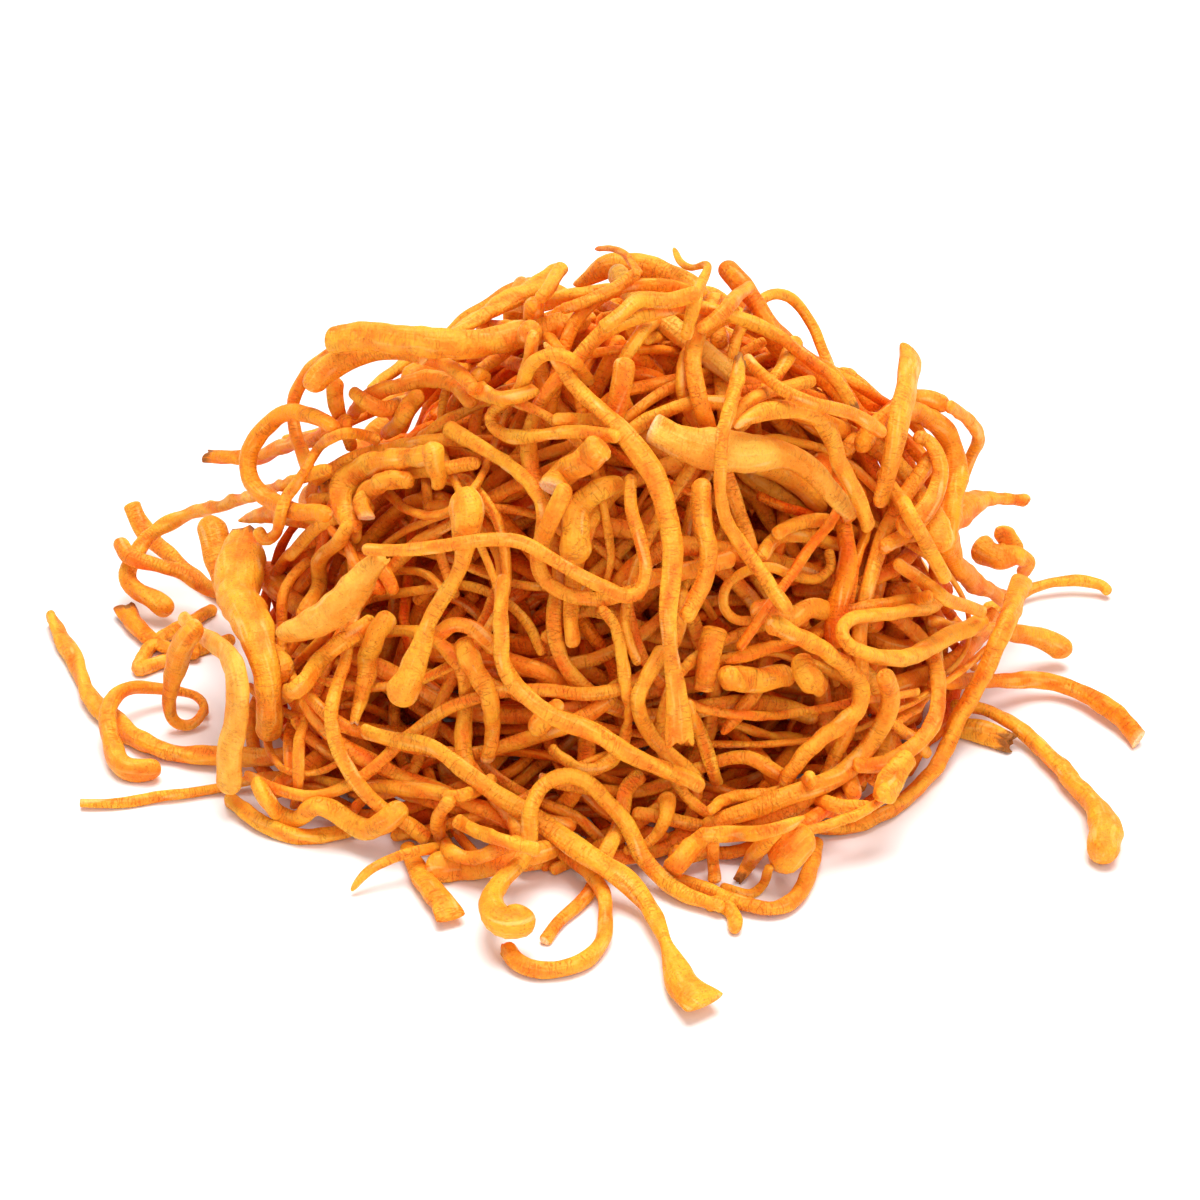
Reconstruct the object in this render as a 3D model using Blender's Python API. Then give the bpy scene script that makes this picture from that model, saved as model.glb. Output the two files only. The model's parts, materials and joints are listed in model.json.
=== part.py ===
"""A bunch of fresh cultivated cordyceps: loose orange fruiting bodies heaped on a table.

Each fruiting body is a strand of its own: a slender stalk, often with a swollen club at one end.
The strands are laid one after another, from the table up. A strand's route is drawn as it is
seen from a point of view in front of the heap or behind it. Along each line of sight it is then
pushed back until it rests on the table, on the inner strands or on a strand laid before it, and
it bridges the gaps between them as a springy rod does.

Metres, +Z up, the table at z = 0.
"""

import math

import bpy
import numpy as np

# ---------------------------------------------------------------- driving dimensions, in metres
HEAP_HALF_LENGTH = 0.0520
HEAP_HALF_DEPTH = 0.0450
HEAP_HEIGHT = 0.0630
HEAP_SEGMENTS = 46
HEAP_TIERS = 18
CROWN_DROP = 0.0004
LUMP_DEPTH = 0.0030
LUMP_SEED = 5
LUMP_SPREAD = 0.3
VALLEY_DEPTH = 0.0090
VALLEY_START = 0.0020
VALLEY_WIDTH = 0.0090
VALLEY_PASSES = 2
BACK_SHARE = 0.25

CLEARANCE = 0.0006
TABLE_CLEARANCE = 0.0001
STRAND_SIDES = 6
CORNER_REACH = 1.05
STEP = 0.0011
RING_SPACING = 0.0110
RING_TURN = math.radians(36)
RING_SWELL = 0.45
STEEPEST = 2.2
STIFF_PASSES = 70
SMOOTH_PASSES = 6
LIFT_REACH = 9
LIFT_PASSES = 8
GIRTH_PASSES_PER_STEP = 1 / 30
ROUTE_PASSES = 3
SPAN_STEPS = 12
FEWEST_STEPS = 12
FEWEST_RINGS = 4
END_ROUNDING = 0.55
LYING_PULL = 0.5
ON_TABLE_BELOW = 0.0036
ON_DOME_ABOVE = 0.0156
BEND_POINTS = 12

# The points of view: a frame of 1200 by 1200 points, seen from EYE_DISTANCE away.
FRAME_MIDDLE = 600.0
POINT_SIZE = 0.00015
EYE_DISTANCE = 0.620
EYE_ELEVATION = math.radians(32)
BACK_ELEVATION = math.radians(40)
SIGHT_HEIGHT = 0.016

# ---------------------------------------------------------------- colours, as seen in daylight
FRESH = "EE861A"
PALE = "F29A33"
DEEP = "E0700F"
SHADED = "C65A0A"


def remove_everything():
    """Starts from an empty scene."""
    for obj in list(bpy.data.objects):
        bpy.data.objects.remove(obj, do_unlink=True)


def linear(hex_colour):
    """The linear values of an sRGB colour written in hex."""
    values = np.array([int(hex_colour[i : i + 2], 16) / 255 for i in (0, 2, 4)])
    return np.where(values <= 0.04045, values / 12.92, ((values + 0.055) / 1.055) ** 2.4)


def flesh(name, hex_colour):
    """The satin flesh of one fruiting body."""
    material = bpy.data.materials.new(name + "_flesh")
    material.use_nodes = True
    shader = material.node_tree.nodes["Principled BSDF"]
    shader.inputs["Base Color"].default_value = (*linear(hex_colour), 1.0)
    shader.inputs["Roughness"].default_value = 0.55
    shader.inputs["Metallic"].default_value = 0.0
    material.diffuse_color = (*linear(hex_colour), 1.0)
    return material


def add_object(name, points, faces, hex_colour):
    """A named object with its own material, shaded smooth."""
    mesh = bpy.data.meshes.new(name)
    mesh.from_pydata(points.tolist(), [], faces)
    mesh.materials.append(flesh(name, hex_colour))
    mesh.shade_smooth()
    obj = bpy.data.objects.new(name, mesh)
    bpy.context.scene.collection.objects.link(obj)
    return obj


# ---------------------------------------------------------------- points of view
class View:
    """An eye that looks at the middle of the heap from one side."""

    def __init__(self, azimuth, elevation):
        ahead = np.array([math.sin(azimuth), math.cos(azimuth), 0.0])
        self.right = np.array([math.cos(azimuth), -math.sin(azimuth), 0.0])
        self.forward = ahead * math.cos(elevation) - np.array([0, 0, math.sin(elevation)])
        self.up = np.cross(self.right, self.forward)
        self.level = ahead
        self.eye = np.array([0, 0, SIGHT_HEIGHT]) - self.forward * EYE_DISTANCE

    def rays(self, seen):
        """Unit vectors from the eye through points of the frame."""
        across = (seen[:, :1] - FRAME_MIDDLE) * POINT_SIZE * self.right
        down = (seen[:, 1:2] - FRAME_MIDDLE) * POINT_SIZE * self.up
        rays = self.forward * EYE_DISTANCE + across - down
        return rays / np.linalg.norm(rays, axis=1)[:, None]


FRONT = View(0.0, EYE_ELEVATION)
BACK = View(math.pi, BACK_ELEVATION)


# ---------------------------------------------------------------- how far back a strand can go
def table_limit(view, rays, radius):
    """Where each ray is one radius above the table."""
    height = radius + TABLE_CLEARANCE - view.eye[2]
    return np.where(rays[:, 2] < -1e-3, height / np.minimum(rays[:, 2], -1e-3), np.inf)


def heap_limit(view, rays, radius):
    """Where each ray first meets the inner strands' dome, grown by one radius."""
    grown = np.array([HEAP_HALF_LENGTH, HEAP_HALF_DEPTH, HEAP_HEIGHT])
    grown = grown + (radius + CLEARANCE)[:, None]
    start, along = view.eye / grown, rays / grown
    a = (along**2).sum(1)
    b = (start * along).sum(1)
    c = (start**2).sum(1) - 1.0
    inside = b * b - a * c
    meets = (-b - np.sqrt(np.maximum(inside, 0.0))) / a
    return np.where(inside > 0, meets, np.inf)


def strand_limit(view, rays, radius, laid):
    """Where each ray first comes within reach of a strand that was laid before."""
    limit = np.full(len(rays), np.inf)
    for centres, reach in laid:
        offset = centres - view.eye
        along = rays @ offset.T
        apart = (offset**2).sum(1)[None, :] - along**2
        room = (reach[None, :] + radius[:, None] + CLEARANCE) ** 2 - apart
        meets = along - np.sqrt(np.maximum(room, 0.0))
        limit = np.minimum(limit, np.where(room > 0, meets, np.inf).min(axis=1))
    return limit


def plane_limit(view, rays, depth):
    """Where each ray is depth behind the heap's middle, for stretches held up in the air."""
    return (depth - view.eye @ view.level) / (rays @ view.level)


def smoothed(values):
    """One pass of a (1, 2, 1) filter that leaves a straight end straight."""
    first, last = 2 * values[0] - values[1], 2 * values[-1] - values[-2]
    padded = np.concatenate([[first], values, [last]])
    return 0.25 * padded[:-2] + 0.5 * padded[1:-1] + 0.25 * padded[2:]


def springy(limit, spacing):
    """The deepest course that stays in front of limit, is never too steep, and bridges gaps."""
    course = limit.copy()
    for i in range(1, len(course)):
        course[i] = min(course[i], course[i - 1] + STEEPEST * spacing)
    for i in range(len(course) - 2, -1, -1):
        course[i] = min(course[i], course[i + 1] + STEEPEST * spacing)
    for _ in range(STIFF_PASSES):
        course = np.minimum(smoothed(course), limit)
    for _ in range(SMOOTH_PASSES):
        course = smoothed(course)
    excess = np.maximum(course - limit, 0.0)
    padded = np.pad(excess, LIFT_REACH)
    lift = np.array([padded[i : i + 2 * LIFT_REACH + 1].max() for i in range(len(excess))])
    for _ in range(LIFT_PASSES):
        lift = np.maximum(smoothed(lift), excess)
    return course - lift


# ---------------------------------------------------------------- routes
def through(knots, count):
    """A smooth curve through the knots, by Catmull-Rom spans, at count even steps of length."""
    knots = np.asarray(knots, float)
    ends = 2 * knots[[0, -1]] - knots[[1, -2]]
    k = np.vstack([ends[:1], knots, ends[1:]])
    t = np.linspace(0, 1, SPAN_STEPS, endpoint=False)[:, None]
    spans = []
    for i in range(1, len(k) - 2):
        slope_in, slope_out = (k[i + 1] - k[i - 1]) / 2, (k[i + 2] - k[i]) / 2
        spans.append(
            (2 * t**3 - 3 * t**2 + 1) * k[i]
            + (t**3 - 2 * t**2 + t) * slope_in
            + (3 * t**2 - 2 * t**3) * k[i + 1]
            + (t**3 - t**2) * slope_out
        )
    curve = np.vstack([*spans, knots[-1:]])
    return even_steps(curve, count)


def even_steps(curve, count):
    """The curve again, at count points an even length apart."""
    length = np.concatenate([[0], np.cumsum(np.linalg.norm(np.diff(curve, axis=0), axis=1))])
    at = np.linspace(0, length[-1], count)
    return np.column_stack([np.interp(at, length, curve[:, k]) for k in range(curve.shape[1])])


def girth_along(girth, count):
    """Half-thickness at each step, from diameters in millimetres at even places, and round ends."""
    places = np.linspace(0, 1, len(girth))
    at = np.linspace(0, 1, count)
    radius = np.interp(at, places, np.asarray(girth) / 2000)
    for _ in range(max(2, int(count * GIRTH_PASSES_PER_STEP))):
        radius = np.concatenate([radius[:1], smoothed(radius)[1:-1], radius[-1:]])
    return radius


def outward(points):
    """The way up from what a strand rests on: the table's, or the dome's where it is high."""
    size = np.array([HEAP_HALF_LENGTH, HEAP_HALF_DEPTH, HEAP_HEIGHT])
    normal = points / size**2
    normal /= np.linalg.norm(normal, axis=1)[:, None]
    share = np.clip((points[:, 2:3] - ON_TABLE_BELOW) / (ON_DOME_ABOVE - ON_TABLE_BELOW), 0, 1)
    mixed = normal * share + np.array([0, 0, 1.0]) * (1 - share)
    return mixed / np.linalg.norm(mixed, axis=1)[:, None]


def frames(points, flat):
    """The two cross directions at each point, turned as little as possible from one to the next.

    A flattened strand's first direction lies along what it rests on.
    """
    tangent = np.gradient(points, axis=0)
    tangent /= np.linalg.norm(tangent, axis=1)[:, None]
    side = np.empty_like(tangent)
    up = outward(points)
    start = np.cross(tangent[0], up[0])
    side[0] = start / np.linalg.norm(start)
    for i in range(1, len(points)):
        guide = side[i - 1]
        if flat < 1:
            lying = np.cross(tangent[i], up[i])
            guide = guide + LYING_PULL * lying * np.sign(lying @ guide)
        guide = guide - (guide @ tangent[i]) * tangent[i]
        side[i] = guide / np.linalg.norm(guide)
    return side, np.cross(side, tangent)


def ring_places(points, radius):
    """Which steps carry a ring: more of them in bends and where the strand swells."""
    tangent = np.diff(points, axis=0)
    spacing = np.linalg.norm(tangent, axis=1)
    tangent /= spacing[:, None]
    turn = np.arccos(np.clip((tangent[1:] * tangent[:-1]).sum(1), -1, 1))
    turn = np.concatenate([[turn[0]], turn])
    swell = np.abs(np.diff(np.log(radius)))
    need = spacing / RING_SPACING + turn / RING_TURN + swell / RING_SWELL
    need = np.concatenate([[0], np.cumsum(need)])
    rings = max(FEWEST_RINGS, math.ceil(need[-1]) + 1)
    return np.interp(np.linspace(0, need[-1], rings), need, np.arange(len(points)))


def strand_mesh(points, radius, flat):
    """Rings of six corners along the strand, closed by a pole at each round end."""
    side, up = frames(points, flat)
    places = ring_places(points, radius)
    rounding = radius[[0, -1]] * END_ROUNDING / np.linalg.norm(points[1] - points[0])
    places[0] += min(rounding[0], places[1] * 0.5)
    places[-1] -= min(rounding[1], (places[-1] - places[-2]) * 0.5)
    steps = np.arange(len(points))

    def at(values):
        return np.column_stack([np.interp(places, steps, values[:, k]) for k in range(3)])

    centre, side, up = at(points), at(side), at(up)
    reach = np.interp(places, steps, radius) * CORNER_REACH
    angle = np.arange(STRAND_SIDES) * 2 * math.pi / STRAND_SIDES
    corner = (
        centre[:, None]
        + reach[:, None, None] * np.cos(angle)[None, :, None] * side[:, None]
        + reach[:, None, None] * flat * np.sin(angle)[None, :, None] * up[:, None]
    )
    mesh_points = np.vstack([points[:1], corner.reshape(-1, 3), points[-1:]])
    rings, faces = len(centre), []
    for j in range(STRAND_SIDES):
        k = (j + 1) % STRAND_SIDES
        faces.append((0, 1 + j, 1 + k))
        for i in range(rings - 1):
            here, there = 1 + i * STRAND_SIDES, 1 + (i + 1) * STRAND_SIDES
            faces.append((here + k, here + j, there + j))
            faces.append((there + k, here + k, there + j))
        last = 1 + (rings - 1) * STRAND_SIDES
        faces.append((last + k, last + j, last + STRAND_SIDES))
    return mesh_points, faces


# ---------------------------------------------------------------- laying
LAID = []
STRANDS = []


def lay(name, route, girth, back=0.0, flat=1.0, colour=FRESH, view=FRONT):
    """Lays one strand over those before it.

    route: points of the view's frame. girth: diameters in millimetres from its first end to its
    last. back: how far behind the heap's middle it may go, in millimetres, one value or one for
    each point of the route. flat: thickness over width.
    """
    length = np.linalg.norm(np.diff(np.asarray(route, float), axis=0), axis=1).sum() * POINT_SIZE
    count = max(FEWEST_STEPS, round(length / STEP))
    backs = np.broadcast_to(np.asarray(back, float), (len(route),)) / 1000
    curve = through(np.column_stack([np.asarray(route, float), backs / POINT_SIZE]), count)
    seen, depth = curve[:, :2], curve[:, 2] * POINT_SIZE
    for _ in range(ROUTE_PASSES):
        seen = np.column_stack([smoothed(seen[:, 0]), smoothed(seen[:, 1])])
    radius = girth_along(girth, count)
    rays = view.rays(seen)
    thick = radius * CORNER_REACH * (0.5 + 0.5 * flat)
    limit = np.minimum(table_limit(view, rays, thick), heap_limit(view, rays, thick))
    limit = np.minimum(limit, strand_limit(view, rays, radius * CORNER_REACH, LAID))
    limit = np.minimum(limit, plane_limit(view, rays, depth))
    course = springy(limit, STEP)
    points = view.eye + course[:, None] * rays
    length = np.linalg.norm(np.diff(points, axis=0), axis=1).sum()
    points = even_steps(points, max(count, round(length / STEP)))
    radius = girth_along(girth, len(points))
    LAID.append((points, radius * CORNER_REACH))
    STRANDS.append((name, *strand_mesh(points, radius, flat), colour))


def on_the_table():
    """Strands that trail out onto the table on every side."""
    lay(
        "left_long_tail",
        route=[(50, 618), (64, 636), (73, 658), (86, 688), (104, 711), (124, 732), (145, 744),
            (173, 752), (216, 757), (262, 757), (300, 752)],
        girth=(2.2, 2.5, 2.9, 2.7, 2.5),
        back=60,
    )
    lay(
        "low_straight_stem",
        route=[(80, 803), (132, 802), (183, 793), (214, 789), (262, 778), (311, 780), (362, 786),
            (430, 790), (452, 797)],
        girth=(1.4, 1.6, 1.9, 2.2),
    )
    lay(
        "low_arc_left",
        route=[(226, 796), (249, 816), (272, 828), (305, 838), (336, 834), (368, 822)],
        girth=(2.1, 2.3, 2.0),
    )
    lay(
        "cut_arc_right",
        route=[(930, 683), (970, 681), (1000, 680), (1035, 680), (1068, 687), (1099, 700),
            (1122, 719), (1138, 740)],
        girth=(2.0, 2.2, 2.4, 2.7, 2.6),
        back=40,
        colour=DEEP,
    )
    lay(
        "clubbed_tail_right",
        route=[(950, 706), (979, 707), (1010, 722), (1038, 745), (1061, 768), (1081, 791),
            (1098, 808), (1106, 830), (1103, 858)],
        girth=(2.0, 2.1, 2.5, 3.0, 2.7, 4.6, 4.4),
        back=40,
    )
    lay(
        "thin_hook_right",
        route=[(985, 612), (1025, 592), (1042, 585), (1063, 581), (1086, 581), (1108, 585),
            (1110, 594)],
        girth=(2.1, 1.9, 1.8, 1.8),
        back=60,
    )
    lay(
        "knob_right",
        route=[(930, 622), (960, 628), (990, 630), (1018, 634), (1043, 637), (1060, 645), (1068, 656)],
        girth=(1.7, 1.9, 2.1, 3.0, 3.9),
        back=55,
    )
    lay(
        "front_low_hook",
        route=[(507, 949), (514, 966), (540, 971), (570, 966), (595, 952), (608, 930), (606, 904),
            (598, 883), (580, 866), (560, 850)],
        girth=(2.6, 2.2, 2.3, 2.1, 2.0),
    )
    lay(
        "cut_stump_front",
        route=[(404, 846), (414, 860), (427, 885), (441, 903), (452, 919)],
        girth=(2.2, 3.0, 3.8, 3.2),
        flat=0.75,
    )
    lay(
        "thin_tip_front",
        route=[(351, 891), (366, 873), (388, 860), (415, 851), (446, 846)],
        girth=(1.2, 1.5, 1.7),
    )
    lay(
        "withered_blade_left",
        route=[(124, 607), (131, 620), (142, 632), (155, 642), (176, 652), (200, 655)],
        girth=(3.0, 3.0, 2.5, 2.2),
        flat=0.7,
        back=60,
        colour=DEEP,
    )


def left_side():
    """The tangle that stands out from the left of the heap."""
    lay(
        "flat_tip_left",
        route=[(131, 504), (135, 517), (143, 530), (158, 545), (170, 555), (185, 568), (205, 584),
            (235, 600)],
        girth=(3.0, 2.8, 2.0, 1.9, 2.1),
        back=[42, 42, 42, 41, 40, 38, 32, 22],
    )
    lay(
        "brown_tipped_stem_left",
        route=[(208, 457), (230, 459), (255, 456), (285, 447), (315, 436), (350, 423)],
        girth=(2.3, 2.4, 2.5, 2.6),
        back=[24, 24, 22, 20, 18, 16],
        colour=DEEP,
    )
    lay(
        "thin_hoop_left",
        route=[(342, 348), (330, 352), (312, 366), (299, 386), (293, 408), (294, 430), (300, 455),
            (312, 474)],
        girth=(2.0, 1.9, 1.9, 2.0),
        back=[4, 6, 8, 10, 12, 12, 10, 6],
    )
    lay(
        "thin_club_left",
        route=[(330, 470), (300, 478), (275, 488), (247, 498), (220, 505), (196, 513), (170, 521),
            (155, 529), (145, 542), (133, 560), (124, 577), (132, 591), (150, 596), (163, 606),
            (171, 614)],
        girth=(1.7, 1.7, 1.7, 1.8, 2.0, 2.2, 2.5, 2.9, 3.2),
        back=[6, 8, 14, 22, 28, 32, 36, 38, 38, 36, 34, 34, 34, 34, 34],
    )
    lay(
        "lumpy_club_left",
        route=[(116, 540), (126, 552), (140, 562), (155, 567), (170, 568), (185, 575), (200, 582),
            (220, 592), (240, 606)],
        girth=(2.4, 2.6, 2.2, 2.3, 2.2, 2.0),
        back=[28, 28, 28, 28, 27, 26, 24, 20, 14],
    )
    lay(
        "loop_left",
        route=[(338, 430), (325, 420), (305, 413), (285, 413), (265, 425), (250, 446), (246, 467),
            (255, 487), (272, 502), (300, 512), (330, 514)],
        girth=(2.3, 2.5, 2.6, 2.6, 2.5, 2.4),
        back=[0, 2, 6, 10, 12, 12, 10, 6, 2, -4, -8],
        colour=DEEP,
    )
    lay(
        "clubbed_arc_left",
        route=[(311, 392), (316, 378), (330, 367), (355, 357), (380, 354), (406, 352), (430, 357),
            (447, 365), (462, 377), (476, 392)],
        girth=(4.0, 3.6, 2.4, 2.3, 2.3, 2.3, 2.2, 2.2),
        back=[6, 5, 4, 3, 2, 1, 0, -2, -4, -6],
    )
    lay(
        "ball_headed_left",
        route=[(207, 516), (214, 532), (219, 550), (219, 570), (222, 592), (234, 618), (255, 642),
            (275, 660), (288, 676)],
        girth=(4.2, 4.4, 2.0, 2.1, 2.5, 2.9, 3.5, 3.7),
        back=[22, 22, 20, 18, 14, 8, 0, -8, -10],
    )
    lay(
        "calyx_headed_left",
        route=[(248, 534), (242, 552), (239, 575), (241, 600), (250, 625), (263, 652), (269, 680),
            (268, 708), (266, 738)],
        girth=(4.6, 7.4, 7.6, 6.8, 5.4, 4.6, 4.0, 3.6),
        back=[8, 8, 6, 4, 2, 0, 0, 0, 0],
        flat=0.9,
    )
    lay(
        "pale_flat_stem_left",
        route=[(182, 617), (200, 635), (222, 648), (234, 668), (238, 700), (234, 730), (229, 765),
            (226, 794)],
        girth=(2.0, 2.3, 2.6, 3.2, 3.7, 3.6, 3.0),
        back=[22, 18, 12, 6, 0, 0, 0, 0],
        flat=0.75,
        colour=PALE,
    )
    lay(
        "club_hook_left",
        route=[(205, 716), (206, 704), (197, 695), (183, 691), (158, 688), (132, 687), (112, 697),
            (106, 712), (110, 732), (112, 752), (122, 768), (142, 770), (161, 767)],
        girth=(1.4, 1.5, 2.1, 2.4, 2.8, 3.3, 3.5),
        back=60,
    )
    lay(
        "tapered_curl_left",
        route=[(200, 622), (188, 634), (180, 650), (175, 668), (169, 693), (168, 711), (175, 724),
            (187, 727), (199, 720), (205, 708)],
        girth=(3.2, 3.6, 3.2, 2.3, 1.8, 1.3),
        back=60,
    )


def far_top():
    """Strands along the crest and the right shoulder, which stand out against what is behind."""
    lay(
        "thick_arch_top",
        route=[(573, 285), (595, 274), (615, 264), (637, 264), (660, 272), (685, 283), (702, 300),
            (714, 322), (722, 345)],
        girth=(2.2, 3.6, 3.8, 3.6, 3.2, 2.6),
        back=[16, 16, 15, 14, 12, 10, 8, 4, 0],
    )
    lay(
        "thin_arc_right_top",
        route=[(731, 362), (736, 338), (746, 315), (761, 300), (777, 291), (795, 300), (812, 325),
            (824, 350), (834, 384), (842, 416)],
        girth=(1.6, 1.6, 1.7, 1.7, 1.8),
        back=[8, 8, 8, 10, 11, 11, 10, 8, 6, 4],
    )
    lay(
        "leaning_club_top",
        route=[(727, 267), (742, 285), (757, 305), (770, 330), (790, 352), (815, 370), (838, 388),
            (858, 412), (870, 440)],
        girth=(3.2, 2.9, 2.8, 3.8, 4.4, 3.4, 2.6, 2.2),
        back=[8, 8, 7, 6, 4, 2, 0, -2, -4],
        colour=DEEP,
    )
    lay(
        "forked_fan_top",
        route=[(556, 264), (546, 276), (534, 288), (513, 299), (490, 312), (462, 327), (438, 342),
            (420, 364)],
        girth=(2.6, 4.2, 4.4, 3.6, 2.4, 1.7, 1.6),
        back=[14, 14, 13, 12, 10, 8, 6, 4],
        flat=0.6,
    )
    lay(
        "thick_stem_top_left",
        route=[(330, 339), (370, 337), (410, 341), (445, 345), (480, 343), (520, 335), (560, 326),
            (590, 318)],
        girth=(3.9, 4.2, 4.2, 4.0, 3.8, 3.4),
        back=[6, 6, 7, 8, 9, 10, 12, 14],
    )
    lay(
        "pale_ended_stem_top",
        route=[(618, 272), (628, 290), (645, 308), (668, 325), (692, 342), (715, 360), (738, 380)],
        girth=(3.4, 3.6, 3.5, 3.3, 3.1),
        back=[14, 13, 12, 10, 8, 6, 4],
        colour=PALE,
    )
    lay(
        "ball_with_tail_right",
        route=[(1028, 501), (1012, 498), (994, 496), (976, 499), (962, 512), (940, 525), (914, 535),
            (884, 545)],
        girth=(1.9, 2.0, 4.6, 4.8, 3.2, 2.6, 2.4, 2.2),
        back=[18, 18, 18, 17, 15, 10, 4, 0],
    )
    lay(
        "big_bend_right",
        route=[(858, 450), (872, 428), (900, 410), (930, 417), (947, 436), (956, 458), (956, 485),
            (948, 515), (946, 545), (957, 568), (980, 586), (1010, 601)],
        girth=(2.6, 2.8, 3.2, 3.4, 3.8, 3.9, 3.6, 3.0, 2.4, 2.2),
        back=[2, 4, 7, 10, 12, 13, 14, 15, 16, 18, 22, 27],
        colour=DEEP,
    )
    lay(
        "blade_right_top",
        route=[(910, 352), (909, 375), (903, 403), (896, 438), (888, 475), (880, 508)],
        girth=(4.0, 3.7, 3.6, 3.9, 3.8, 3.4),
        back=[10, 9, 7, 4, 0, -4],
        flat=0.6,
    )


def over_the_front():
    """The strands that lie uppermost on the side towards the front view."""
    lay(
        "cut_pale_trunk",
        route=[(650, 428), (681, 441), (719, 452), (752, 453), (788, 455), (809, 468), (832, 491),
            (856, 516)],
        girth=(4.4, 5.4, 5.8, 4.8, 3.6, 3.0, 2.6),
        back=-16,
        flat=0.8,
        colour=PALE,
    )
    lay(
        "trunk_branch",
        route=[(734, 428), (752, 414), (776, 408), (803, 410), (824, 426), (838, 453), (849, 481),
            (861, 508), (867, 531)],
        girth=(2.2, 2.8, 2.8, 2.6, 2.4, 2.2),
        back=-18,
    )
    lay(
        "thin_arc_over_right",
        route=[(747, 356), (758, 373), (780, 389), (810, 402), (847, 412), (868, 422), (884, 434)],
        girth=(1.6, 1.7, 1.9, 2.0),
        back=-10,
    )
    lay(
        "crescent_left",
        route=[(277, 637), (311, 623), (344, 603), (364, 577), (381, 556)],
        girth=(2.2, 3.9, 4.1, 3.8, 2.6),
        back=-18,
        colour=PALE,
    )
    lay(
        "bulb_over_stem",
        route=[(456, 492), (466, 504), (470, 520), (464, 535), (466, 552), (462, 568), (449, 586),
            (433, 612), (423, 642), (411, 673), (396, 704)],
        girth=(5.0, 5.2, 2.6, 2.1, 2.2, 2.5, 3.0, 4.6, 5.2),
        back=-20,
    )
    lay(
        "centre_diagonal",
        route=[(506, 574), (503, 607), (498, 638), (499, 657), (512, 680), (535, 704), (562, 720),
            (598, 737), (636, 755), (674, 775), (702, 790)],
        girth=(2.1, 2.2, 2.3, 2.6, 2.6, 2.3, 2.2),
        back=-24,
    )
    lay(
        "big_bend_front",
        route=[(768, 620), (785, 631), (810, 643), (843, 661), (861, 684), (858, 708), (836, 729),
            (809, 748), (793, 770), (781, 788)],
        girth=(3.2, 2.5, 2.6, 2.7, 2.5, 2.2),
        back=-22,
    )
    lay(
        "loop_back_right",
        route=[(944, 597), (936, 608), (898, 612), (860, 617), (840, 627), (845, 643), (867, 654),
            (898, 660), (925, 650), (950, 636), (984, 620)],
        girth=(1.9, 1.9, 1.9, 2.2, 2.6, 2.7, 2.5),
        back=-6,
    )
    lay(
        "sweep_right_front",
        route=[(884, 672), (890, 700), (878, 736), (856, 762), (824, 783), (793, 795), (758, 807),
            (722, 817), (704, 829)],
        girth=(2.8, 2.6, 2.7, 2.8, 2.6, 2.2),
        back=-18,
    )
    lay(
        "long_diagonal_right",
        route=[(1022, 582), (1003, 630), (985, 672), (960, 716), (942, 757), (922, 785), (895, 806),
            (868, 823), (838, 830), (806, 823)],
        girth=(3.1, 2.8, 2.6, 2.4, 2.2, 1.8),
        back=[16, 12, 8, 0, 0, 0, 0, 0, 0, 0],
    )
    lay(
        "post_centre",
        route=[(703, 478), (701, 508), (706, 542), (709, 568), (698, 595), (684, 622)],
        girth=(2.9, 2.8, 2.7, 2.6, 2.4),
        back=-22,
    )
    lay(
        "dark_tipped_stem",
        route=[(741, 360), (739, 374), (735, 389), (727, 413), (722, 447), (721, 475), (720, 500),
            (727, 523), (740, 545), (758, 566), (773, 588), (788, 613)],
        girth=(2.6, 2.2, 1.8, 1.8, 1.9, 2.0, 2.2),
        back=-14,
    )
    lay(
        "front_s_wave",
        route=[(363, 549), (406, 551), (445, 545), (483, 539), (509, 540), (534, 549), (560, 564),
            (585, 577), (611, 590), (632, 599), (645, 587), (646, 560), (637, 531), (629, 500),
            (631, 474)],
        girth=(1.7, 1.8, 1.9, 1.9, 1.9, 1.9, 1.8, 1.7),
        back=-24,
    )
    lay(
        "ribbon_stem",
        route=[(544, 342), (560, 365), (577, 388), (597, 408), (618, 427), (638, 450), (655, 474),
            (665, 505), (672, 538), (672, 572), (669, 607), (670, 645), (674, 683), (679, 718),
            (681, 744)],
        girth=(1.2, 2.2, 2.8, 3.1, 3.1, 2.6, 2.2, 2.6, 3.6),
        back=-18,
        flat=0.75,
    )
    lay(
        "low_diagonal_front",
        route=[(363, 729), (394, 739), (424, 745), (450, 760), (475, 776), (500, 796), (526, 813),
            (549, 829), (580, 851), (611, 869), (637, 891), (655, 915), (665, 940), (675, 967),
            (688, 990), (707, 1006)],
        girth=(2.2, 2.4, 2.5, 2.6, 2.9, 3.2, 3.5, 2.7, 1.7, 5.0, 5.0),
        back=-20,
        flat=0.65,
    )
    lay(
        "curve_right_front",
        route=[(665, 876), (698, 887), (731, 898), (762, 909), (787, 906), (803, 889), (811, 863),
            (818, 840)],
        girth=(2.0, 2.2, 2.3, 2.3, 2.0),
        back=-20,
    )
    lay(
        "arch_front",
        route=[(525, 915), (511, 926), (495, 920), (490, 903), (496, 887), (511, 872), (525, 857),
            (529, 836), (531, 808), (541, 784), (560, 775), (582, 778), (604, 797), (625, 823),
            (641, 851), (657, 877), (680, 891), (703, 901), (724, 910)],
        girth=(4.8, 4.4, 3.0, 2.4, 2.3, 2.2, 2.2, 2.2, 2.3, 2.4, 2.2, 1.8),
        back=-24,
    )


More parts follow.
